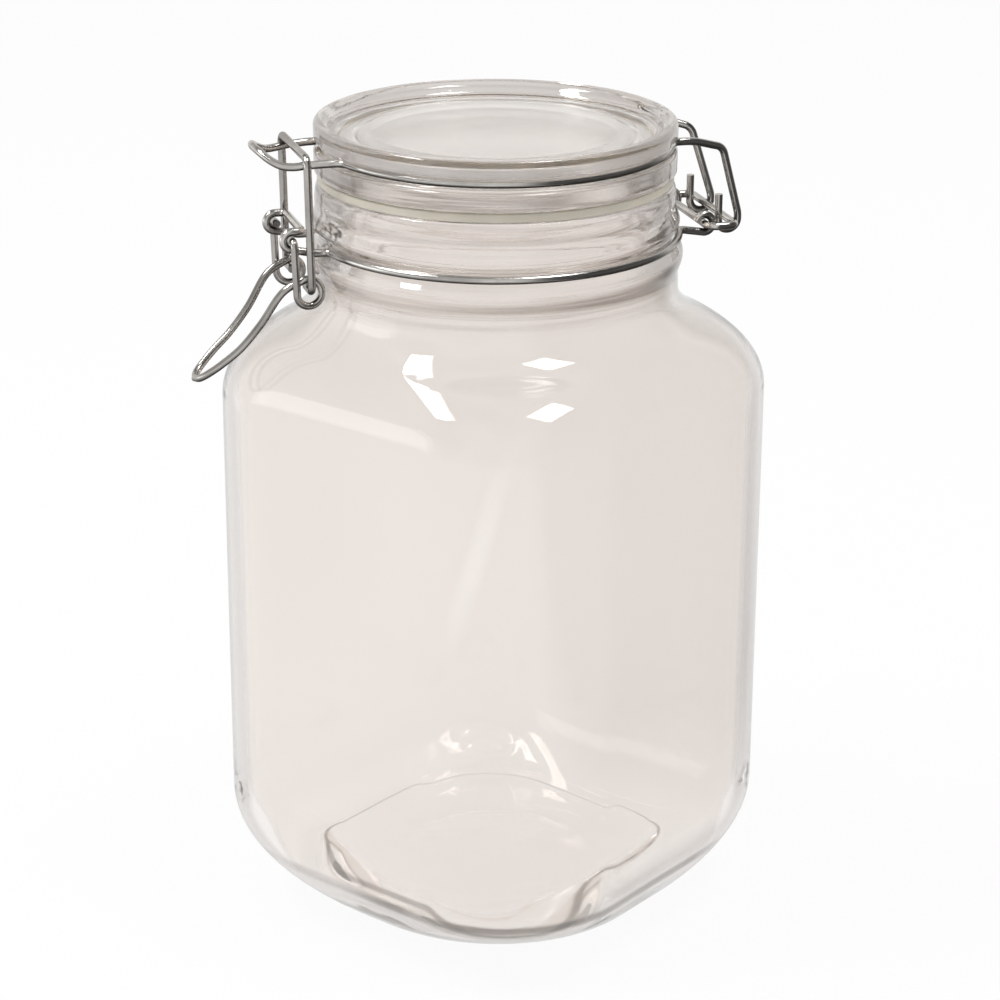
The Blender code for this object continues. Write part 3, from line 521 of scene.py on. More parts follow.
# Wires
wire = {
    "radius": 1.05 * mm,
    "leverRadius": 1.0 * mm,
    "clearance": 0.3 * mm,
    "beside": 0.35 * mm,
    "coil": 0.2 * mm,
    "sides": 18,
    "bendStep": math.radians(7.0),
    "ringStep": math.radians(2.0),
    "endRound": 0.35 * mm,
    "endRise": 0.5,  # of the round
    "leastMitre": 0.5,  # keeps a sharp bend from reaching far out
    "exitShare": 0.9,  # of the room for a bend off a ring
    "curveSteps": 8,
    "smoothAngle": 40,
}
lidRing = {"radius": lid["grooveRadius"] + wire["clearance"] + wire["radius"], "height": lid["ringHeight"]}
collarRing = {"radius": body["seatRadius"] + wire["clearance"] + wire["radius"], "height": body["collarHeight"]}
crankV = 12.2 * mm
armV = crankV - 2 * wire["leverRadius"] - wire["coil"]
bailV = crankV + wire["leverRadius"] + wire["beside"] + wire["radius"]
eyeV = crankV - wire["leverRadius"] - wire["beside"] - wire["radius"]


def bendCorners(corners, closed=False):  # a path through corners, each with its bend radius
    count, path = len(corners), []
    for index, (corner, bend) in enumerate(corners):
        here = Vector(corner)
        if not closed and index in (0, count - 1):
            path.append(here)
            continue
        before = (Vector(corners[index - 1][0]) - here).normalized()
        after = (Vector(corners[(index + 1) % count][0]) - here).normalized()
        turn = math.pi - before.angle(after)
        if bend <= 0 or turn < wire["bendStep"] / 4:
            path.append(here)
            continue
        tangent = bend * math.tan(turn / 2)
        centre = here + (before + after).normalized() * (bend / math.cos(turn / 2))
        start = here + before * tangent - centre
        steps = max(2, math.ceil(turn / wire["bendStep"]))
        for step in range(steps + 1):
            angle = turn * step / steps
            path.append(centre + start * math.cos(angle) - before * bend * math.sin(angle))
    return path


def smoothCurve(points, steps):
    knots = [Vector(point) for point in points]
    knots = [2 * knots[0] - knots[1]] + knots + [2 * knots[-1] - knots[-2]]
    curve = []
    for index in range(1, len(knots) - 2):
        before, start, end, after = knots[index - 1 : index + 3]
        for step in range(steps):
            t = step / steps
            even = 2 * start + (end - before) * t
            square = (2 * before - 5 * start + 4 * end - after) * t**2
            cube = (3 * start - before - 3 * end + after) * t**3
            curve.append(0.5 * (even + square + cube))
    curve.append(knots[-2])
    return curve


def arcPlaces(radius, start, end, steps):
    angles = [start + (end - start) * step / steps for step in range(steps + 1)]
    return [(radius * math.cos(angle), radius * math.sin(angle)) for angle in angles]


def ringArc(ring, start, end):
    steps = max(1, round(abs(end - start) / wire["ringStep"]))
    return [Vector((u, v, ring["height"])) for u, v in arcPlaces(ring["radius"], start, end, steps)]


def circleArc(u, v, z, radius, start, end):  # an arc in the plane of u and z
    steps = max(2, math.ceil(abs(end - start) / wire["bendStep"]))
    return [Vector((u + across, v, z + up)) for across, up in arcPlaces(radius, start, end, steps)]


def otherSide(path):
    return [Vector((point.x, -point.y, point.z)) for point in reversed(path)]


def wirePoints(path, radius):  # in the shared frame, without those that coincide
    kept = [Vector(path[0])]
    for point in path[1:]:
        if (Vector(point) - kept[-1]).length > radius / 20:
            kept.append(Vector(point))
    return [planPoint(*point) for point in kept]


def wireAxes(points, closed):  # both directions at each point, and the axes of a ring that doesn't twist
    count, axes, normal = len(points), [], None
    for index, here in enumerate(points):
        before = points[index - 1] if closed or index else here
        after = points[(index + 1) % count] if closed or index < count - 1 else here
        comes = (here - before).normalized() if here != before else (after - here).normalized()
        leaves = (after - here).normalized() if here != after else comes
        along = (comes + leaves).normalized()
        if normal is None:
            normal = Vector((0, 0, 1)) if closed else along.orthogonal().normalized()
        normal = (normal - along * normal.dot(along)).normalized()
        axes.append((comes, leaves, normal, along.cross(normal)))
    return axes


def wireRing(here, axes, radius):  # mitred, so that the wire keeps its width round a bend
    comes, leaves, normal, across = axes
    stretch = 1 / max(math.cos(comes.angle(leaves, 0.0) / 2), wire["leastMitre"])
    inward = (leaves - comes).normalized() if (leaves - comes).length > tiny else None
    ring = []
    for step in range(wire["sides"]):
        angle = fullTurn * step / wire["sides"]
        offset = radius * (math.cos(angle) * normal + math.sin(angle) * across)
        if inward:
            offset += inward * offset.dot(inward) * (stretch - 1)
        ring.append(here + offset)
    return ring


def sweepWire(name, path, radius, closed=False):
    points, sides = wirePoints(path, radius), wire["sides"]
    made = bmesh.new()
    layer = made.loops.layers.uv.new("along")
    rings, lengths = [], [0.0]
    for here, after, axes in zip(points, points[1:] + points[:1], wireAxes(points, closed)):
        rings.append([made.verts.new(place) for place in wireRing(here, axes, radius)])
        lengths.append(lengths[-1] + (after - here).length)
    for index in range(len(rings) if closed else len(rings) - 1):
        first, second = rings[index], rings[(index + 1) % len(rings)]
        near, far = lengths[index] / cm, lengths[index + 1] / cm
        for step in range(sides):
            after = (step + 1) % sides
            face = made.faces.new((first[step], first[after], second[after], second[step]))
            turn, nextTurn = step / sides, (step + 1) / sides
            for loop, place in zip(face.loops, ((near, turn), (near, nextTurn), (far, nextTurn), (far, turn))):
                loop[layer].uv = place
    if not closed:
        ends = ((list(reversed(rings[0])), points[0] - points[1]), (rings[-1], points[-1] - points[-2]))
        for ring, out in ends:
            cap = made.faces.new(ring)
            bmesh.ops.inset_region(made, faces=[cap], thickness=wire["endRound"])
            bmesh.ops.translate(made, verts=cap.verts, vec=out.normalized() * wire["endRound"] * wire["endRise"])
    return makeObject(name, made, wire["smoothAngle"])


lidWire = {
    "hingeZ": hingePoint.z,
    "hookRadius": 2.9 * mm,
    "hookBend": 2.85 * mm,
    "legV": 10.2 * mm,
    "pinV": 10.9 * mm,
    "pinTop": 200.2 * mm,
    "legStart": 1.5 * mm,
    "exitV": 14.4 * mm,
    "exitU": 50.0 * mm,
    "topU": 59.4 * mm,
    "topV": 12.0 * mm,
    "topZ": 213.5 * mm,
    "legBend": 3.6 * mm,
    "noseExitV": 12.6 * mm,
    "exitBend": 4.0 * mm,
    "nose": (  # u, half width and z in mm, from the lid to the tip
        (-48.2, 12.4, 216.3),
        (-51.2, 12.1, 216.2),
        (-54.4, 11.7, 216.0),
        (-57.3, 11.0, 215.7),
        (-60.0, 9.7, 215.9),
        (-62.5, 7.6, 217.1),
        (-64.4, 4.6, 218.6),
        (-65.2, 0.0, 219.2),
    ),
}


def makeLidWire(finish):
    w = lidWire
    hingeU = planReach(hingePoint)
    bottom = w["hingeZ"] - w["hookRadius"]
    legU, pinU = hingeU + w["hookRadius"], hingeU - w["hookRadius"]
    legAngle = math.asin(w["exitV"] / lidRing["radius"])
    noseAngle = math.pi - math.asin(w["noseExitV"] / lidRing["radius"])
    margin = w["exitBend"] / lidRing["radius"]
    ring = ringArc(lidRing, legAngle + margin, noseAngle - margin)
    corners = ringArc(lidRing, legAngle, noseAngle)
    nose = [(u * mm, v * mm, z * mm) for u, v, z in w["nose"]]
    rear = bendCorners(
        [
            ((pinU, w["pinV"], w["pinTop"]), 0),
            ((pinU, w["pinV"], bottom), w["hookBend"]),
            ((legU, w["legV"], bottom), w["hookBend"]),
            ((legU, w["legV"], w["hingeZ"] + w["legStart"]), 2 * w["hookBend"]),
            ((w["topU"], w["topV"], w["topZ"]), w["legBend"]),
            ((w["exitU"], w["exitV"], lidRing["height"]), 4 * w["legBend"]),
            (corners[0], w["exitBend"] * wire["exitShare"]),
            (ring[0], 0),
        ]
    )
    front = bendCorners([(ring[-1], 0), (corners[-1], w["exitBend"] * wire["exitShare"]), (nose[0], 0)])
    half = rear + ring[1:-1] + front + smoothCurve(nose, wire["curveSteps"])[1:]
    piece = sweepWire("lidWire", half + otherSide(half)[1:], wire["radius"])
    dress(piece, finish, "lid", "lid_wire")


collarWire = {
    "hairpinRadius": wire["radius"] + wire["clearance"] + wire["leverRadius"] + 0.05 * mm,  # with a little play
    "strandU": -51.5 * mm,
    "crossbarU": -54.9 * mm,
    "crossbarBend": 1.7 * mm,
    "exitBend": 3.0 * mm,
    "rearEyeV": 13.4 * mm,
    "rearEyeRadius": 2 * wire["radius"] + wire["clearance"],
    "rearEyeEnd": math.radians(155.0),
}
bracket = {"innerU": 54.2 * mm, "halfWidth": 17.3 * mm, "bend": 2.6 * mm}


def makeCollarWire(finish):
    w = collarWire
    pivotU = planReach(pivotPoint)
    rearAngle = math.asin(w["rearEyeV"] / collarRing["radius"])
    frontAngle = math.pi - math.asin(eyeV / collarRing["radius"])
    margin = w["exitBend"] / collarRing["radius"]
    ring = ringArc(collarRing, rearAngle + margin, frontAngle - margin)
    corners = ringArc(collarRing, rearAngle, frontAngle)
    eye = circleArc(bracket["innerU"], w["rearEyeV"], hingePoint.z, w["rearEyeRadius"], w["rearEyeEnd"], -quarterTurn)
    rear = bendCorners([(eye[-1], 0), (corners[0], w["exitBend"] * wire["exitShare"]), (ring[0], 0)])
    hairpin = circleArc(pivotU, eyeV, pivotPoint.z, w["hairpinRadius"], -quarterTurn, -3 * quarterTurn)
    front = bendCorners(
        [
            (ring[-1], 0),
            (corners[-1], w["exitBend"] * wire["exitShare"]),
            ((w["strandU"], eyeV, collarRing["height"]), 2 * w["exitBend"]),
            (hairpin[0], 0),
        ]
    )
    top = pivotPoint.z + w["hairpinRadius"]
    crossbar = bendCorners(
        [(hairpin[-1], 0), ((w["crossbarU"], eyeV, top), w["crossbarBend"]), ((w["crossbarU"], 0.0, top), 0)]
    )
    half = eye + rear[1:] + ring[1:-1] + front + hairpin[1:] + crossbar[1:]
    piece = sweepWire("collarWire", half + otherSide(half)[1:], wire["radius"])
    dress(piece, finish, "jar", "collar_wire")


def makeBracket(finish):
    w = bracket
    outerU = planReach(hingePoint)
    plan = ((outerU, -1), (outerU, 1), (w["innerU"], 1), (w["innerU"], -1))
    corners = [((u, side * w["halfWidth"], hingePoint.z), w["bend"]) for u, side in plan]
    piece = sweepWire("hingeBracket", bendCorners(corners, closed=True), wire["radius"], closed=True)
    dress(piece, finish, "jar", "hinge_bracket")


lever = {
    "pinEnd": 7.7 * mm,
    "pinBend": 1.6 * mm,
    "eyeRadius": 3.4 * mm,
    "armLeave": math.radians(105.0),
    "handle": (  # u, half width and z in mm, from the eye to the tip
        (-60.4, 9.3, 182.1),
        (-65.8, 8.1, 174.0),
        (-71.0, 7.4, 167.7),
        (-75.6, 6.3, 163.6),
        (-79.0, 4.6, 160.7),
        (-81.3, 2.6, 158.8),
        (-82.1, 0.0, 158.1),
    ),
}
bail = {"barU": -54.4 * mm, "bend": 2.5 * mm, "footBend": 1.8 * mm, "footEnd": 8.3 * mm}


def makeLever(finish):
    w = lever
    pivotU, eyeU = planReach(pivotPoint), planReach(footPoint)
    play = w["eyeRadius"] - wire["leverRadius"] - wire["radius"] - wire["clearance"]
    eyeZ = footPoint.z - play
    rise, run = pivotPoint.z - eyeZ, pivotU - eyeU
    first = math.atan2(rise, run) + math.acos(w["eyeRadius"] / math.hypot(rise, run))
    coil = circleArc(eyeU, crankV, eyeZ, w["eyeRadius"], first, w["armLeave"] + fullTurn)
    for index, point in enumerate(coil):
        point.y += (armV - crankV) * index / (len(coil) - 1)
    pin = bendCorners(
        [
            ((pivotU, w["pinEnd"], pivotPoint.z), 0),
            ((pivotU, crankV, pivotPoint.z), w["pinBend"]),
            (coil[0], 0),
        ]
    )
    handle = [(u * mm, v * mm, z * mm) for u, v, z in w["handle"]]
    arm = smoothCurve([coil[-1]] + handle, wire["curveSteps"])
    half = pin + coil[1:] + arm[1:]
    piece = sweepWire("leverWire", half + otherSide(half)[1:], wire["leverRadius"])
    dress(piece, finish, "lever", "lever")


def makeBail(finish):
    w = bail
    footU = planReach(footPoint)
    barZ = lidWire["nose"][2][2] * mm + 2 * wire["radius"] + wire["clearance"]  # over the nose's third point
    half = [
        ((footU, w["footEnd"], footPoint.z), 0),
        ((footU, bailV, footPoint.z), w["footBend"]),
        ((w["barU"], bailV, barZ), w["bend"]),
    ]
    other = [((u, -v, z), bend) for (u, v, z), bend in reversed(half)]
    piece = sweepWire("bailWire", bendCorners(half + other), wire["radius"])
    dress(piece, finish, "bail", "bail")


# Finishes: glass
glassLook = {
    "clear": (0.920, 0.886, 0.861, 1.0),
    "deep": (0.882, 0.847, 0.820, 1.0),
    "cloudScale": 14.0,
    "cloudRange": (0.3, 0.7),
    "cloudShare": 0.5,  # of the deep tone
    # painted shade: a deeper tone towards the right side
    "rightShadeRange": (20.0 * mm, 62.0 * mm),
    "rightShadeShare": 0.5,
    "shoulderRange": (150.0 * mm, 168.0 * mm),
    "shoulderShare": 0.6,
    "side": (0.560, 0.530, 0.510, 1.0),  # painted shade where the wall is seen along itself
    "sideRange": (0.52, 0.61),
    "edge": (0.040, 0.036, 0.032, 1.0),  # the thin dark outline, painted shade
    "edgeRange": (0.76, 0.95),
    "roughness": 0.02,
    "cloudRoughness": 0.02,
    "roughRange": (0.3, 0.8),
    "innerRoughness": 0.12,
    "thickRoughness": 0.03,
    "waveScale": (26.0, 26.0, 9.0),
    "seedScale": 900.0,
    "seedRange": (0.8, 0.95),
    "seedHeight": 0.02,
    "streakHeight": 0.6,
    "depth": 0.6 * mm,
    "bodyRipple": 0.10,
    "lidRipple": 0.12,
}
thickLook = {  # the neck and the lid
    "neck": (0.880, 0.842, 0.815, 1.0),
    "neckRange": (176.0 * mm, 184.0 * mm),
    "lid": (0.715, 0.680, 0.655, 1.0),
    # painted shade of the thick glass towards its outline
    "side": (0.46, 0.42, 0.39, 1.0),
    "sideRange": (0.30, 0.62),
    # dark streaks: streaky glass, partly painted shade
    "streak": (0.560, 0.520, 0.490, 1.0),
    "streakScale": 460.0,
    "streakTurn": 7.0,
    "streakRange": (0.44, 0.66),
    "streakMost": 1.2,  # below and above the collar, where it falls off
    "streakFall": (183.0 * mm, 189.0 * mm),
    "streakRise": (197.0 * mm, 203.0 * mm),
    "lidStreakRange": (38.0 * mm, 42.0 * mm),
    "panel": (1.000, 0.972, 0.945, 1.0),
    "panelRange": (41.0 * mm, 43.5 * mm),
    "plugRange": (41.3 * mm, 41.6 * mm),
    "plugTopRange": (216.2 * mm, 216.5 * mm),
    "flatRange": (0.35, 0.75),  # of the normal's lean, where the outline's tones end
}
heelLook = {  # painted shade: the dark line inside the foot's outline
    "tone": (0.13, 0.115, 0.10, 1.0),
    "range": (0.42, 0.50),
    "height": 19.0 * mm,
    "half": 2.4 * mm,
    "core": 0.4,
    "wander": 4.0 * mm,
    "breakScale": 26.0,
    "breakRange": (0.38, 0.58),
    "breakDepth": 0.8,
}
floorLook = {  # the inner floor, and the painted shade of a dark line round its step
    "tone": (0.935, 0.910, 0.890, 1.0),
    "range": (13.0 * mm, 18.0 * mm),
    "line": (0.20, 0.175, 0.15, 1.0),
    "half": 0.85 * mm,
    "core": 0.4,
    "low": (8.0 * mm, 8.2 * mm),
    "high": (14.0 * mm, 14.2 * mm),
}
cornerHighlightLook = {  # a painted highlight: the light streak down the front corner
    "tone": (1.000, 0.985, 0.970, 1.0),
    "row": 110.0 * mm,
    "shift": -16.5 * mm,
    "lean": 0.27,
    "half": 3.2 * mm,
    "core": 0.3,
    "corner": (60.0 * mm, 70.0 * mm),
    "low": (98.0 * mm, 122.0 * mm),
    "high": (132.0 * mm, 156.0 * mm),
}


def readPlace(glass):  # the object's coordinates, and the distance from its axis
    place = glass.place()
    parts = glass.node("SeparateXYZ", None, {0: place})
    x, y, z = parts.out("X"), parts.out("Y"), parts.out("Z")
    return place, x, y, z, (x**2.0 + y**2.0) ** 0.5


def streakMask(glass, x, y, z, radius):  # thick pressed glass is streaked round its axis; the dark streak tone is also painted shade for the bands the neck and lid show
    look = thickLook
    sockets = {0: radius * look["streakScale"], 1: z * look["streakScale"], 2: (x + y) * look["streakTurn"]}
    turned = glass.node("CombineXYZ", None, sockets).out(0)
    return glass.between(glass.noise(turned, 1.0, 2.0), *look["streakRange"])


# where the painted dark line of the heel lies
def heelMask(glass, place, z, cloud):
    look = heelLook
    breaks = glass.between(glass.noise(place, look["breakScale"], 2.0), *look["breakRange"])
    away = z + cloud * look["wander"] - look["wander"] / 2 - look["height"]
    return glass.line(away, look["half"], look["core"]) * (breaks * look["breakDepth"] + (1 - look["breakDepth"]))


# the painted dark line round the inner floor's step
def floorMask(glass, x, y, z):
    look = floorLook
    corner = body["floorCorner"] - body["floorStepWidth"] / 2
    half = body["halfWidth"] - body["wall"] - body["innerHeelInset"] - body["floorStepWidth"] / 2
    overX = glass.maths("MAXIMUM", glass.maths("ABSOLUTE", x) - (half - corner), 0.0)
    overY = glass.maths("MAXIMUM", glass.maths("ABSOLUTE", y) - (half - corner), 0.0)
    reach = (overX**2.0 + overY**2.0) ** 0.5
    line = glass.line(reach - corner, look["half"], look["core"])
    return line * glass.between(z, *look["low"]) * (1 - glass.between(z, *look["high"]))


# the painted highlight down the front corner
def cornerHighlightMask(glass, x, y, z):
    look = cornerHighlightLook
    across = (x + y) * math.sqrt(0.5) - look["shift"] - (z - look["row"]) * look["lean"]
    line = glass.line(across, look["half"], look["core"]) * glass.between(x - y, *look["corner"])
    return line * glass.between(z, *look["low"]) * (1 - glass.between(z, *look["high"]))


def paintOutlineShade(glass, colour, thick, heel, outer):  # painted shade: glass darkens towards its outline, with the heel's painted dark line
    facing = glass.node("LayerWeight", None, {"Blend": 0.5}).out("Facing") * outer
    colour = glass.mixColour(glass.between(facing, *glassLook["sideRange"]), colour, glassLook["side"])
    colour = glass.mixColour(glass.between(facing, *thickLook["sideRange"]) * thick, colour, thickLook["side"])
    colour = glass.mixColour(glass.between(facing, *heelLook["range"]) * heel, colour, heelLook["tone"])
    return glass.mixColour(glass.between(facing, *glassLook["edgeRange"]), colour, glassLook["edge"])


def finishGlass(glass, colour, cloud, inner, thick, streak, ripple):
    look = glassLook
    place = glass.place()
    waves = glass.noise(glass.stretch(place, look["waveScale"]), 1.0, 2.0, 0.4)
    seeds = glass.between(glass.noise(place, look["seedScale"], 0.0), *look["seedRange"])
    height = waves + seeds * look["seedHeight"] + streak * thick * look["streakHeight"]
    rough = glass.between(cloud, *look["roughRange"]) * look["cloudRoughness"] + look["roughness"]
    glass.surface(
        {
            "Base Color": colour,
            "Roughness": rough + inner * look["innerRoughness"] + thick * look["thickRoughness"],
            "IOR": 1.5,
            "Transmission Weight": 1.0,
            "Normal": glass.bump(height, ripple, look["depth"]),
        }
    )


def makeBodyGlass():
    look = glassLook
    glass = Finish("bodyGlass")
    place, x, y, z, radius = readPlace(glass)
    cloud = glass.noise(place, look["cloudScale"], 3.0)
    thick = glass.between(z, *thickLook["neckRange"])
    inside = glass.node("Attribute", {"attribute_name": "inner"}).out("Fac")
    fall = glass.between(z, *thickLook["streakFall"])
    rise = glass.between(z, *thickLook["streakRise"])
    streak = streakMask(glass, x, y, z, radius) * (thickLook["streakMost"] - fall + rise)
    deep = glass.between(cloud, *look["cloudRange"]) * look["cloudShare"]
    # painted shade: deeper towards the right side
    deep = deep + glass.between(x, *look["rightShadeRange"]) * look["rightShadeShare"]
    deep = deep + glass.between(z, *look["shoulderRange"]) * look["shoulderShare"]
    colour = glass.mixColour(deep, look["clear"], look["deep"])
    colour = glass.mixColour(thick, colour, thickLook["neck"])
    colour = glass.mixColour(thick * streak, colour, thickLook["streak"])
    colour = glass.mixColour(cornerHighlightMask(glass, x, y, z) * (1 - inside), colour, cornerHighlightLook["tone"])
    colour = glass.mixColour(inside * (1 - glass.between(z, *floorLook["range"])), colour, floorLook["tone"])
    colour = paintOutlineShade(glass, colour, thick, heelMask(glass, place, z, cloud), 1 - inside)
    colour = glass.mixColour(floorMask(glass, x, y, z), colour, floorLook["line"])
    finishGlass(glass, colour, cloud, thick * inside, thick, streak, look["bodyRipple"])
    return glass


def makeLidGlass():
    look = thickLook
    glass = Finish("lidGlass")
    place, x, y, z, radius = readPlace(glass)
    cloud = glass.noise(place, glassLook["cloudScale"], 3.0)
    streak = streakMask(glass, x, y, z, radius) * glass.between(radius, *look["lidStreakRange"])
    inner = (1 - glass.between(radius, *look["plugRange"])) * (1 - glass.between(z, *look["plugTopRange"]))
    lean = glass.maths("ABSOLUTE", glass.node("SeparateXYZ", None, {0: glass.place("Normal")}).out("Z"))
    colour = glass.mixColour(streak, look["lid"], look["streak"])
    colour = glass.mixColour(1 - glass.between(radius, *look["panelRange"]), colour, look["panel"])
    colour = paintOutlineShade(glass, colour, 1.0, 0.0, 1 - glass.between(lean, *look["flatRange"]))
    finishGlass(glass, colour, cloud, inner, 1.0, streak, glassLook["lidRipple"])
    return glass


# Finishes: rubber and steel
rubberLook = {
    "light": (0.70, 0.66, 0.575, 1.0),
    "dark": (0.57, 0.535, 0.46, 1.0),
    "mottleScale": 120.0,
    "grainScale": 2600.0,
    "grainDepth": 0.05 * mm,
    "roughness": 0.42,
    "roughSpread": 0.15,
    "softReach": (2.0 * mm, 1.6 * mm, 1.0 * mm),
}


def makeRubber():
    look = rubberLook
    rubber = Finish("paleRubber")
    place = rubber.place()
    mottle = rubber.noise(place, look["mottleScale"], 4.0)
    grain = rubber.noise(place, look["grainScale"], 2.0)
    rubber.surface(
        {
            "Base Color": rubber.mixColour(mottle, look["light"], look["dark"]),
            "Roughness": rubber.between(mottle, 0.2, 0.8) * look["roughSpread"] + look["roughness"],
            "Subsurface Weight": 0.35,
            "Subsurface Radius": look["softReach"],
            "Subsurface Scale": 1.0,
            "Normal": rubber.bump(grain, 0.25, look["grainDepth"]),
        }
    )
    return rubber


steelLook = {
    "bright": (0.86, 0.84, 0.81, 1.0),
    "handled": (0.64, 0.62, 0.595, 1.0),  # the lever and the bail are duller from the hand
    "dull": (0.16, 0.15, 0.14, 1.0),
    # painted shade on the wires' undersides
    "undersideShade": (0.05, 0.046, 0.042, 1.0),
    "tint": (0.7, 0.69, 0.68, 1.0),
    "drawScale": (1.2, 46.0, 1.0),  # fine lines along the wire
    "drawShare": 0.20,
    "slowScale": (0.35, 0.0, 1.0),  # changes along the wire
    "slowRange": (0.45, 0.65),
    "slowShare": 0.35,
    "patchScale": 260.0,
    "wearRange": (0.42, 0.72),
    "wearShare": 0.15,
    "underRange": (0.45, -0.25),  # of the normal's height, where painted shade darkens the undersides
    "drawRoughness": 0.10,
    "wearRoughness": 0.08,
    "depth": 0.03 * mm,
}


def makeSteel(name, bright, roughness):
    look = steelLook
    steel = Finish(name)
    along = steel.place("UV")
    draw = steel.noise(steel.stretch(along, look["drawScale"]), 3.0, 4.0, 0.6)
    patches = steel.noise(steel.place(), look["patchScale"], 3.0)
    wear = steel.between(patches, *look["wearRange"])
    upward = steel.node("SeparateXYZ", None, {0: steel.place("Normal")}).out("Z")
    # painted shade on the undersides
    under = steel.between(upward + draw * 0.5, *look["underRange"])
    slow = steel.between(steel.noise(steel.stretch(along, look["slowScale"]), 1.0, 1.0), *look["slowRange"])
    worn = wear * look["wearShare"] + draw * look["drawShare"] + slow * look["slowShare"]
    colour = steel.mixColour(under, steel.mixColour(worn, bright, look["dull"]), look["undersideShade"])
    steel.surface(
        {
            "Specular Tint": look["tint"],
            "Base Color": colour,
            "Metallic": 1.0,
            "Roughness": draw * look["drawRoughness"] + wear * look["wearRoughness"] + roughness,
            "Normal": steel.bump(draw + patches * 0.5, 0.35, look["depth"]),
        }
    )
    return steel


print("glass")
makeBody(makeBodyGlass())
makeLid(makeLidGlass())
print("rubber")
makeGasket(makeRubber())
print("wires")
wirePieces = (  # each wire, its finish, the finish's tone and its roughness
    (makeLidWire, "lidWireSteel", "bright", 0.10),
    (makeCollarWire, "collarWireSteel", "bright", 0.12),
    (makeBracket, "bracketSteel", "bright", 0.12),
    (makeLever, "leverSteel", "handled", 0.08),
    (makeBail, "bailSteel", "handled", 0.09),
)
for makePiece, name, tone, roughness in wirePieces:
    makePiece(makeSteel(name, steelLook[tone], roughness))


# Camera and stage
camera = {
    "distance": 767.98 * mm,
    "height": 401.7 * mm,
    "bodyTurn": math.radians(38.9),
    "pitch": math.radians(20.45),
    "yaw": math.radians(-0.12),
    "roll": math.radians(0.27),
    "lens": 107.256,
    "sensor": 36.0,
    "nearest": 50.0 * mm,
}
cameraRight = (math.cos(camera["bodyTurn"]), math.sin(camera["bodyTurn"]), 0.0)
cameraAhead = (-math.sin(camera["bodyTurn"]), math.cos(camera["bodyTurn"]), 0.0)
stage = {
    "floorSize": 8.0,
    "floorDrop": 0.3 * mm,
    "floorTone": (0.86, 0.86, 0.86, 1.0),
    "glow": 0.94,
    "white": (1.0, 1.0, 1.0, 1.0),
    "roomDark": 0.22,
    "roomRange": 0.45,
    "bandScale": (1.6, 1.6, 0.9),
    "bandRange": (0.40, 0.60),
    "wallTone": 0.96,
    "wallGreen": 0.985,  # as shares of the red
    "wallBlue": 0.965,
    "clearShare": 0.85,  # of the pale wall that glass shows in place of the room
    "wallRange": (0.02, 0.56),  # as the sine of the height angle
    "wallLift": 0.22,  # the pale wall is higher behind the jar
    "darkFloor": (0.05, 0.048, 0.045, 1.0),  # what metal and glass reflect from the room's dark side
    "darkFloorRange": (0.10, 0.20),
    "darkSide": 0.90,
    "darkSideRange": (0.25, 0.50),
    "darkEndRange": (0.45, 0.80),  # where the dark side ends again behind the jar
}


def makeCamera():
    data = bpy.data.cameras.new("camera")
    data.lens = camera["lens"]
    data.sensor_width = camera["sensor"]
    data.clip_start = camera["nearest"]
    made = addObject("camera", data)
    turn = camera["bodyTurn"]
    place = Vector((camera["distance"] * math.sin(turn), -camera["distance"] * math.cos(turn), camera["height"]))
    heading = Matrix.Rotation(turn + camera["yaw"], 4, "Z")
    tilt = Matrix.Rotation(quarterTurn - camera["pitch"], 4, "X")
    lean = Matrix.Rotation(camera["roll"], 4, "Z")
    made.matrix_world = Matrix.Translation(place) @ heading @ tilt @ lean
    bpy.context.scene.camera = made


def reachAlong(finish, vector, axis):  # how far a place or direction lies along an axis
    return finish.node("VectorMath", {"operation": "DOT_PRODUCT"}, {0: vector, 1: axis}).out("Value")


def darkWedge(finish, vector):  # 1 in the dark wedge of the room to the camera's right
    heading = finish.node("VectorMath", {"operation": "NORMALIZE"}, {0: vector}).out("Vector")
    end = 1 - finish.between(reachAlong(finish, heading, cameraAhead), *stage["darkEndRange"])
    return finish.between(reachAlong(finish, heading, cameraRight), *stage["darkSideRange"]) * end


def mirrored(rays):  # 1 for a reflected ray, which has not just come through glass
    return rays.out("Is Glossy Ray") * (1 - rays.out("Is Transmission Ray"))


def makeFloor():
    mesh = bpy.data.meshes.new("floor")
    half = stage["floorSize"] / 2
    corners = [(-half, -half), (half, -half), (half, half), (-half, half)]
    mesh.from_pydata([(x, y, -stage["floorDrop"]) for x, y in corners], [], [(0, 1, 2, 3)])
    floor = addObject("floor", mesh)
    pale = Finish("paleFloor")
    pale.surface({"Base Color": stage["floorTone"], "Roughness": 0.9, "Specular IOR Level": 0.1})
    shader = pale.tree.nodes["Principled BSDF"]
    rays = pale.node("LightPath")
    seen = pale.maths("MAXIMUM", rays.out("Is Camera Ray"), rays.out("Is Transmission Ray"))
    seen = pale.maths("MAXIMUM", seen, rays.out("Is Glossy Ray"))
    right = pale.between(reachAlong(pale, pale.place(), cameraRight), *stage["darkFloorRange"])
    dark = right * darkWedge(pale, pale.place()) * mirrored(rays)
    tone = pale.mixColour(dark, stage["white"], stage["darkFloor"])
    glow = pale.node("Emission", None, {"Color": tone, "Strength": 1.0}).out(0)
    both = pale.node("MixShader", None, {0: seen * stage["glow"], 1: Socket(pale, shader.outputs[0]), 2: glow})
    pale.feed(pale.tree.nodes["Material Output"].inputs["Surface"], both.out(0))
    mesh.materials.append(pale.owner)


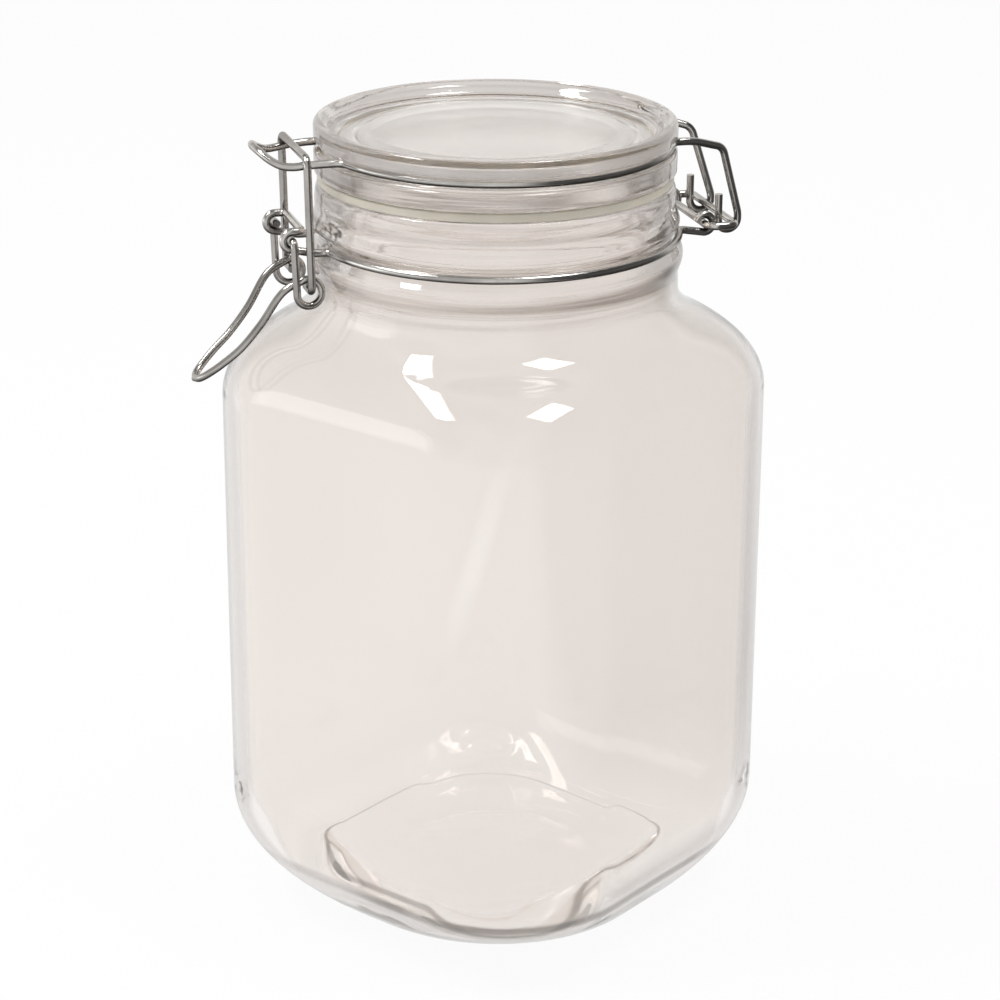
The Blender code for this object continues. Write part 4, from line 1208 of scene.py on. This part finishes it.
def makeWorld():
    world = bpy.data.worlds.new("studio")
    bpy.context.scene.world = world
    sky = Finish("studio", world)
    direction = sky.place("Generated")
    height = sky.node("SeparateXYZ", None, {0: direction}).out("Z")
    bands = sky.noise(sky.stretch(direction, stage["bandScale"]), 1.0, 1.0)
    dim = sky.between(bands, *stage["bandRange"]) * stage["roomRange"] + stage["roomDark"]
    rays = sky.node("LightPath")
    clear = sky.maths("MAXIMUM", rays.out("Is Transmission Ray") * stage["clearShare"], rays.out("Is Camera Ray"))
    room = dim * (1 - clear) + clear * stage["wallTone"]
    lifted = height - reachAlong(sky, direction, cameraAhead) * stage["wallLift"]
    wall = sky.between(lifted, *stage["wallRange"])
    dark = darkWedge(sky, direction) * mirrored(rays) * stage["darkSide"]
    level = (room * wall + (1 - wall) * stage["wallTone"]) * (1 - dark)
    channels = {0: level, 1: level * stage["wallGreen"], 2: level * stage["wallBlue"]}
    tone = sky.node("CombineColor", None, channels).out(0)
    background = sky.tree.nodes["Background"]
    sky.feed(background.inputs["Color"], tone)
    sky.feed(background.inputs["Strength"], 1.0)


# Lamps
lampTarget = 165.0 * mm  # the height of the jar's shoulder
lamps = {  # the ends of each (azimuth from the camera to the right, elevation, reach), its size and its power
    "windowLeft": (((-60, 46, 1.4), (-107, 60, 1.4)), (0.22, 0.80), 11.0),
    "windowRight": (((66, 68, 1.4),), (0.42, 0.34), 6.0),
    "windowStrip": (((-82, 3, 1.6),), (0.9, 0.42), 1.3),
}


def towards(azimuth, elevation, reach):
    azimuth, elevation = math.radians(azimuth), math.radians(elevation)
    across = math.cos(elevation) * reach
    height = lampTarget + math.sin(elevation) * reach
    turn = Matrix.Rotation(camera["bodyTurn"], 3, "Z")
    return turn @ Vector((across * math.sin(azimuth), -across * math.cos(azimuth), height))


def makeLamp(name, ends, size, power):  # its second side runs from end to end, or up
    data = bpy.data.lights.new(name, "AREA")
    data.shape = "RECTANGLE"
    data.size, data.size_y = size
    data.energy = power
    lamp = addObject(name, data)
    places = [towards(*end) for end in ends]
    place = (places[0] + places[-1]) / 2
    along = places[1] - places[0] if len(places) > 1 else Vector((0, 0, 1))
    back = (place - Vector((0, 0, lampTarget))).normalized()
    side = along.cross(back).normalized()
    axes = Matrix((side, back.cross(side), back)).transposed()
    lamp.matrix_world = Matrix.Translation(place) @ axes.to_4x4()


print("stage")
makeFloor()
makeWorld()
makeCamera()
for name, (ends, size, power) in lamps.items():
    makeLamp(name, ends, size, power)

bounces = 64  # thick glass passes light on many times
scene = bpy.context.scene
scene.view_settings.view_transform = "Standard"
scene.cycles.max_bounces = bounces
scene.cycles.glossy_bounces = bounces
scene.cycles.transmission_bounces = bounces
